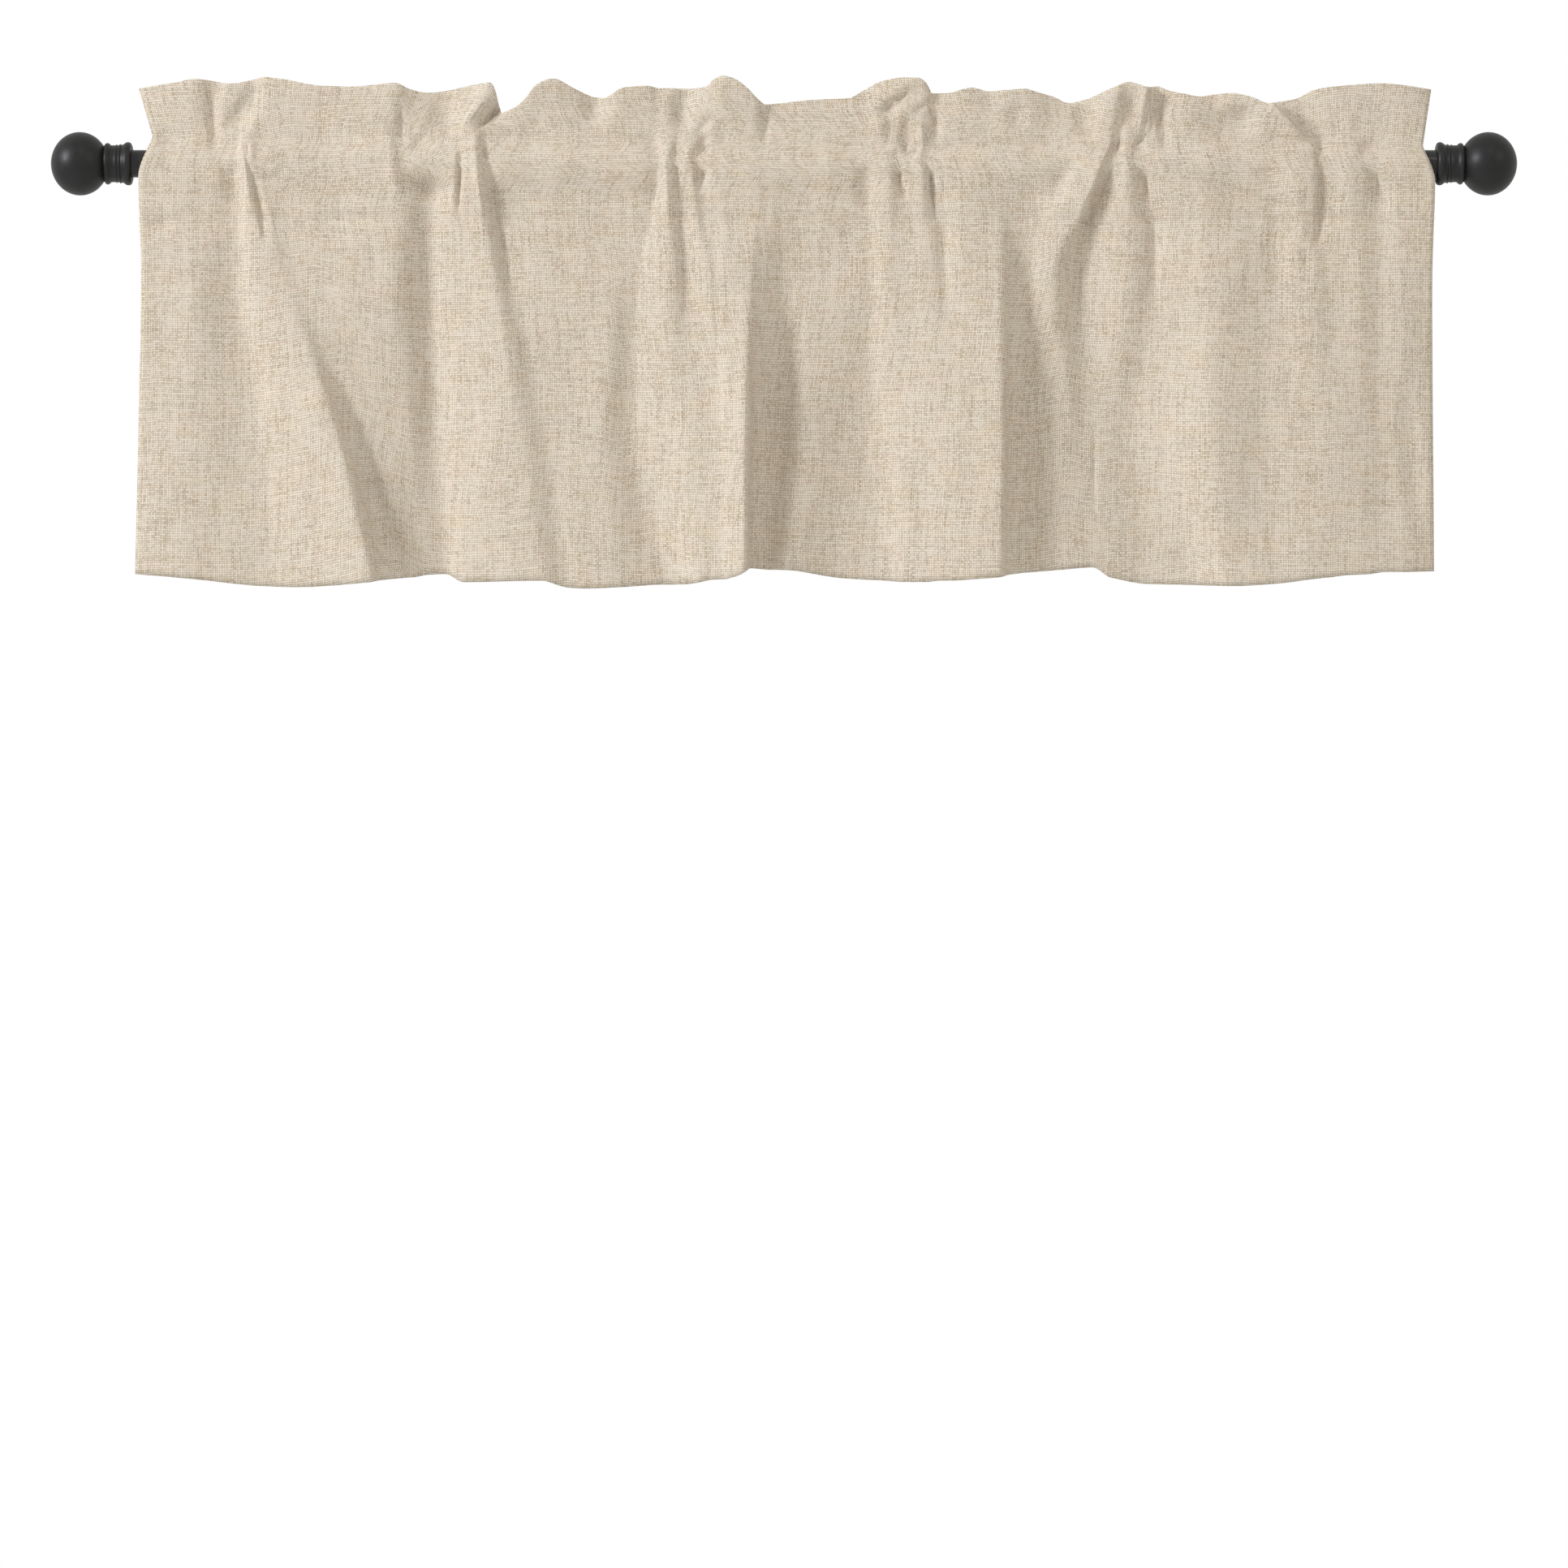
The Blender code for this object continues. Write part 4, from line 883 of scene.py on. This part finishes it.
def linen():
    material = bpy.data.materials.new("slub linen look")
    table = NodeTable(material)
    math_node, times, plus = table.math, table.times, table.plus
    flat = table.add("SeparateXYZ", table.add("TexCoord").outputs["UV"])
    u, v = flat.outputs[0], flat.outputs[1]

    def stretched(along_u, along_v, seed):
        """Noise whose patches are so many millimetres wide and high."""
        across, down = math_node("DIVIDE", u, along_u * MM), math_node("DIVIDE", v, along_v * MM)
        return table.noise(table.vector(across, down, seed), 1.0)

    def strand(place, pitch, seed, thick_and_thin):
        """A count of threads: whole numbers lie in the gaps between them."""
        stray = times(stretched(WANDER_LENGTH, WANDER_LENGTH, seed), 2 * WANDER)
        stray = plus(stray, times(thick_and_thin, SLUB))
        return plus(math_node("DIVIDE", place, pitch * MM), stray)

    def tone_of(thread, along, length, seed):
        place = table.vector(times(math_node("FLOOR", thread), THREAD_STEP),
                             math_node("DIVIDE", along, length * MM), seed)
        return table.noise(place, 1.0, roughness=0.6)

    def rounded(wave):
        return math_node("POWER", math_node("ABSOLUTE", wave), ROUNDNESS)

    def dipped(thread_top, dip):
        return plus(times(thread_top, dip), 1 - dip)

    warp = strand(u, WARP_PITCH, 3.1, stretched(6, 150, 65.5))
    weft = strand(v, WEFT_PITCH, 8.4, stretched(150, 7, 75.5))
    warp_wave, weft_wave = (math_node("SINE", times(strands, math.pi)) for strands in (warp, weft))
    warp_over = table.span(times(warp_wave, weft_wave), -OVERLAP, OVERLAP)
    warp_top, weft_top = rounded(warp_wave), rounded(weft_wave)

    def either(if_weft, if_warp):
        mix = table.add("Mix", data_type="FLOAT")
        for socket, source in zip(mix.inputs[:1] + mix.inputs[2:4], (warp_over, if_weft, if_warp)):
            table.feed(socket, source)
        return mix.outputs[0]

    weft_tone, warp_tone = tone_of(weft, u, WEFT_SLUB, 11.9), tone_of(warp, v, WARP_SLUB, 3.7)
    warp_tone = math_node("MULTIPLY_ADD", warp_tone, WARP_CONTRAST, (1 - WARP_CONTRAST) / 2)
    tone = either(weft_tone, warp_tone)
    crossing = table.vector(math_node("FLOOR", warp), math_node("FLOOR", weft))
    grain = table.add("TexWhiteNoise", crossing).outputs["Value"]
    lattice = times(dipped(weft_top, WEFT_DIP), dipped(warp_top, WARP_DIP))
    top = plus(times(lattice, LATTICE), times(either(weft_top, warp_top), 1 - LATTICE))
    bands = plus(stretched(38, 900, 5.5), stretched(11, 260, 15.5))
    streaks = plus(stretched(70, 5, 25.5), stretched(120, 14, 35.5))
    slow = math_node("SUBTRACT", plus(bands, streaks), 2.0)
    # Painted light on the thread tops, added to the threads' own tone, grain and streaks.
    light = plus(times(top, TOP_PAINTED_LIGHT), times(tone, TONE))
    for source, share in ((grain, GRAIN), (slow, STREAKS)):
        light = plus(light, times(source, share))

    ramp = table.add("ValToRGB", plus(light, PALENESS))
    for stop, place, color in zip(ramp.color_ramp.elements, (TAN_AT, CREAM_AT), (TAN, CREAM)):
        stop.position, stop.color = place, color
    # Painted shade: where both threads dip, in the gaps between them, the colour is darkened towards the dark
    # gap colour.
    painted_gap_shade = times(math_node("SUBTRACT", 1.0, warp_top), math_node("SUBTRACT", 1.0, weft_top))
    painted_gap_shade = table.add("Clamp", times(painted_gap_shade, GAP_SHADE_DEPTH)).outputs[0]
    color = table.blend(painted_gap_shade, ramp.outputs["Color"], GAP_SHADE_COLOR)
    for tint, seed in ((PINK, 45.5), (STRAW, 55.5)):
        patch = table.span(stretched(*PATCH, seed), PATCH_FROM, PATCH_TO)
        color = table.blend(patch, color, tint, "MULTIPLY")

    relief = table.bump(plus(top, times(tone, TONE_RELIEF)), strength=0.5, distance=0.25)
    table.surface({"Base Color": color, "Normal": relief, "Roughness": 0.95, "Specular IOR Level": 0.1,
                   "Sheen Weight": 0.05, "Sheen Roughness": 0.6})
    return material


cloth_material = linen()
panel.data.materials.append(cloth_material)
print("weave:", len(cloth_material.node_tree.nodes), "nodes")

# %% [markdown]
# ## Stitching
#
# Two rows of lockstitch hold the pocket: one above the rod and one below it, on the front and on the back.
# The hem is caught from behind, so nothing of it shows in front. A stitch is a short rounded bar. Geometry
# Nodes put one every few millimetres along each line, turned along it, so the length of a stitch and the
# gap to the next stay the same however the cloth waves.

# %% Stitch lines
STITCH_PITCH, STITCH_LENGTH, THREAD_RADIUS = 3.1, 2.5, 0.24
STITCH_SINK = 0.10       # how far a stitch is pressed into the cloth
HEM_STITCH_ROW = 1       # of the sheet, whose first row is the cut edge behind the hem


def surface_line(row):
    """A row of the sheet moved out to the surface of the cloth, on its outer side."""
    near = sheet[row - 1:row + 2]
    normal = np.cross(np.gradient(near, axis=1)[1], near[2] - near[0])
    normal /= np.linalg.norm(normal, axis=1, keepdims=True)
    return sheet[row] - normal * (THICKNESS / 2 + THREAD_RADIUS - STITCH_SINK)


def line_object(name, lines):
    points, edges = [], []
    for line in lines:
        edges += [(len(points) + k, len(points) + k + 1) for k in range(len(line) - 1)]
        points += to_room(line).tolist()
    mesh = bpy.data.meshes.new(name)
    mesh.from_pydata(points, edges, [])
    return add_object(name, mesh)


print("stitch lines follow rows of", sheet.shape[1], "points")

# %% [markdown]
# ## One stitch, many times
#
# The tree turns each line into a curve, cuts it into points at the stitch pitch, and puts a small bead, drawn
# out along the line, on each point. A bead has few faces, because there are about two thousand of them.

# %% The stitch tree
BEAD = (("Segments", 6), ("Rings", 4), ("Radius", 1.0))   # of the ball that each stitch is drawn out from


def make_stitch_tree():
    tree = bpy.data.node_groups.new("stitches along lines", "GeometryNodeTree")
    for way, kind, names in (("INPUT", "Geometry", ["Lines"]),
                             ("INPUT", "Float", ["Pitch", "Stitch Length", "Thread Radius"]),
                             ("INPUT", "Material", ["Material"]), ("OUTPUT", "Geometry", ["Stitches"])):
        for name in names:
            tree.interface.new_socket(name, in_out=way, socket_type="NodeSocket" + kind)
    given, to_curve, to_points, turn, bead, half, size, place, real, smooth, paint, result = (
        tree.nodes.new(kind) for kind in (
            "NodeGroupInput", "GeometryNodeMeshToCurve", "GeometryNodeCurveToPoints",
            "FunctionNodeAlignRotationToVector", "GeometryNodeMeshUVSphere", "ShaderNodeMath",
            "ShaderNodeCombineXYZ", "GeometryNodeInstanceOnPoints", "GeometryNodeRealizeInstances",
            "GeometryNodeSetShadeSmooth", "GeometryNodeSetMaterial", "NodeGroupOutput"))
    to_points.mode = "LENGTH"
    turn.axis = "X"
    half.operation = "MULTIPLY"
    half.inputs[1].default_value = 0.5
    for name, value in BEAD:
        bead.inputs[name].default_value = value
    for start, output, end, socket in (
            (given, "Lines", to_curve, "Mesh"), (to_curve, "Curve", to_points, "Curve"),
            (given, "Pitch", to_points, "Length"), (to_points, "Tangent", turn, "Vector"),
            (given, "Stitch Length", half, 0), (half, 0, size, "X"),
            (given, "Thread Radius", size, "Y"), (given, "Thread Radius", size, "Z"),
            (to_points, "Points", place, "Points"), (bead, "Mesh", place, "Instance"),
            (turn, "Rotation", place, "Rotation"), (size, "Vector", place, "Scale"),
            (place, "Instances", real, "Geometry"), (real, "Geometry", smooth, "Geometry"),
            (smooth, "Geometry", paint, "Geometry"), (given, "Material", paint, "Material"),
            (paint, "Geometry", result, "Stitches")):
        tree.links.new(start.outputs[output], end.inputs[socket])
    return tree


stitch_tree = make_stitch_tree()
print("stitch tree:", len(stitch_tree.nodes), "nodes")

# %% Thread and stitches
THREAD_TWIST = 2600.0
THREAD_COLORS = (0.60, 0.51, 0.405, 1), (0.76, 0.66, 0.54, 1)


def thread_material():
    material = bpy.data.materials.new("sewing thread")
    table = NodeTable(material)
    twist = table.noise(table.add("TexCoord").outputs["Object"], THREAD_TWIST)
    relief = table.bump(twist, strength=0.4, distance=0.05)
    table.surface({"Base Color": table.blend(twist, *THREAD_COLORS), "Normal": relief, "Roughness": 0.75})
    return material


def make_stitches():
    lower, upper = FIRST_FRONT_ROW + LOWER_SEAM_ROW, FIRST_FRONT_ROW + UPPER_SEAM_ROW
    behind_upper = FIRST_FRONT_ROW + len(front) + len(crown) + len(back_of_header) - 1
    behind_lower = behind_upper + BACK_ROWS
    rows = (lower, upper, behind_upper, behind_lower, HEM_STITCH_ROW)
    holder = line_object("stitch lines", [surface_line(row) for row in rows])
    modifier = holder.modifiers.new("stitches", "NODES")
    modifier.node_group = stitch_tree
    sockets = {item.name: item.identifier for item in stitch_tree.interface.items_tree}
    sizes = {"Pitch": STITCH_PITCH, "Stitch Length": STITCH_LENGTH, "Thread Radius": THREAD_RADIUS}
    for name, size in sizes.items():
        modifier[sockets[name]] = size * MM
    modifier[sockets["Material"]] = thread_material()
    return evaluated(holder, "valance_stitching")


stitching = make_stitches()
print_triangles(stitching)

# %% [markdown]
# ## Rod and finials
#
# The rod is right as it is in the frame: it only gets its paint. The finials are turned pieces, and turning
# is what the Screw modifier does: a profile in the plane of the axis is spun once round it. The frame's own
# finials have few sides, so these finer ones, with the fine ribs of the collar, stand in their place.

# %% Turned finials
BALL_CENTRE, BALL_HALF_WIDTH, BALL_RADIUS = 651.5, 26.7, 29.2
BALL_STEPS, FINIAL_SIDES = 40, 96
BORE_END, BORE_RADIUS = 624.3, 13.0
SAME_POINT, SHARP = 0.00001, math.radians(50)
COLLAR = [               # mm along the rod from its middle, and radius
    (603.3, 13.0), (603.3, 16.9), (603.6, 17.8), (604.2, 19.0), (605.3, 19.7), (606.8, 20.0), (608.3, 19.7),
    (609.4, 19.1), (610.4, 18.3), (611.6, 17.6), (612.8, 17.3), (613.2, 17.9), (613.9, 18.1), (614.6, 17.8),
    (615.0, 17.1), (616.4, 17.0), (616.8, 17.5), (617.5, 17.6), (618.1, 17.2), (619.4, 17.0), (622.3, 17.0),
    (623.0, 17.4), (624.0, 18.5), (625.0, 19.0), (626.0, 19.2), (627.0, 18.9), (627.9, 18.2), (628.5, 17.0),
    (629.0, 16.4),
]


def finial_profile():
    start = math.acos((BALL_CENTRE - COLLAR[-1][0]) / BALL_HALF_WIDTH)
    turns = [start + (math.pi - start) * k / BALL_STEPS for k in range(1, BALL_STEPS)]
    ball = [(BALL_CENTRE - BALL_HALF_WIDTH * math.cos(t), BALL_RADIUS * math.sin(t)) for t in turns]
    bore = [(BORE_END, 0.0), (BORE_END, BORE_RADIUS)]
    return bore + COLLAR + ball + [(BALL_CENTRE + BALL_HALF_WIDTH, 0.0)]


def make_finial(name, side):
    profile = [(side * along * MM, 0, radius * MM) for along, radius in finial_profile()]
    mesh = bpy.data.meshes.new(name)
    mesh.from_pydata(profile, [(k, k + 1) for k in range(len(profile) - 1)], [])
    blank = add_object("profile", mesh)
    screw = blank.modifiers.new("turning", "SCREW")
    screw.axis = "X"
    screw.steps = screw.render_steps = FINIAL_SIDES
    screw.use_merge_vertices = True
    screw.merge_threshold = SAME_POINT
    turned = evaluated(blank, name)
    work = bmesh.new()
    work.from_mesh(turned.data)
    bmesh.ops.recalc_face_normals(work, faces=work.faces)
    work.to_mesh(turned.data)
    work.free()
    turned.data.shade_smooth()
    turned.data.set_sharp_from_angle(angle=SHARP)
    return turned


ENDS = (("finial_left", -1), ("finial_right", 1))
finials = {node: make_finial("turned_" + node, side) for node, side in ENDS}
for finial in finials.values():
    print_triangles(finial)

# %% [markdown]
# ## Black finishes
#
# Rod and finials are both black, but not alike. The rod is a painted tube with a satin film that draws the
# light into a thin line. The finials are cast and sprayed matte, so their highlight is broad and grey, with
# the faint mottling of spray. On both, the colour is a little paler on sharp convex edges, such as the rings.

# %% Black paints
MOTTLE_LIFT, MOTTLE_SHARE = 2.2, 0.5        # how pale the pale spots of the paint are, how much they show
EDGE_SPAN, EDGE_PALENESS = (0.52, 0.60), 0.35   # pointiness of a sharp convex edge, and how far its colour goes towards the paler one
MOTTLE_SPAN, GLOSS_SPAN = (0.3, 0.7), (-0.05, 0.06)   # between these the mottling moves the roughness so far


def black_paint(name, color, sharp_edge_color, roughness, grain, bump_height, scratch_scale):
    material = bpy.data.materials.new(name)
    table = NodeTable(material)
    place = table.add("TexCoord").outputs["Object"]
    mottle = table.noise(place, grain, detail=4.0)
    pale = [MOTTLE_LIFT * c for c in color]
    stained = table.blend(table.times(mottle, MOTTLE_SHARE), (*color, 1), (*pale, 1))
    # The colour turns paler on sharp convex edges, found from their pointiness.
    edge = table.span(table.add("NewGeometry").outputs["Pointiness"], *EDGE_SPAN, 0.0, EDGE_PALENESS)
    scratches = table.noise(place, scratch_scale, detail=3.0)
    table.surface({
        "Base Color": table.blend(edge, stained, (*sharp_edge_color, 1)), "Specular IOR Level": 0.3,
        "Roughness": table.span(mottle, *MOTTLE_SPAN, *(roughness + change for change in GLOSS_SPAN)),
        "Normal": table.bump(scratches, strength=0.5, distance=bump_height)})
    return material


finial_paint = black_paint("matte black casting", color=(0.0088, 0.0086, 0.0086), sharp_edge_color=(0.04, 0.039, 0.038),
                           roughness=0.42, grain=180.0, bump_height=0.06, scratch_scale=900.0)
rod_paint = black_paint("satin black tube", color=(0.012, 0.012, 0.0125), sharp_edge_color=(0.03, 0.03, 0.03),
                        roughness=0.26, grain=90.0, bump_height=0.02, scratch_scale=400.0)
for finial in finials.values():
    finial.data.materials.append(finial_paint)
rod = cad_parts["curtain_rod"]
rod.data.materials.clear()
rod.data.materials.append(rod_paint)
print("paints:", finial_paint.name, "and", rod_paint.name)

# %% [markdown]
# ## Attaching the pieces
#
# Every piece rides on the one body, and the frame's solids for the cloth and the finials are hidden, since
# the finer pieces stand in their place. The cloth is cut from a flat piece of 54 by 25 inches, of which 18
# inches are the finished height.

# %% Attach and hide
for node, finial in finials.items():
    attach(finial, BODY)
    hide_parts(node)
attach(panel, BODY)
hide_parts("valance_cloth")
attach(stitching, BODY)
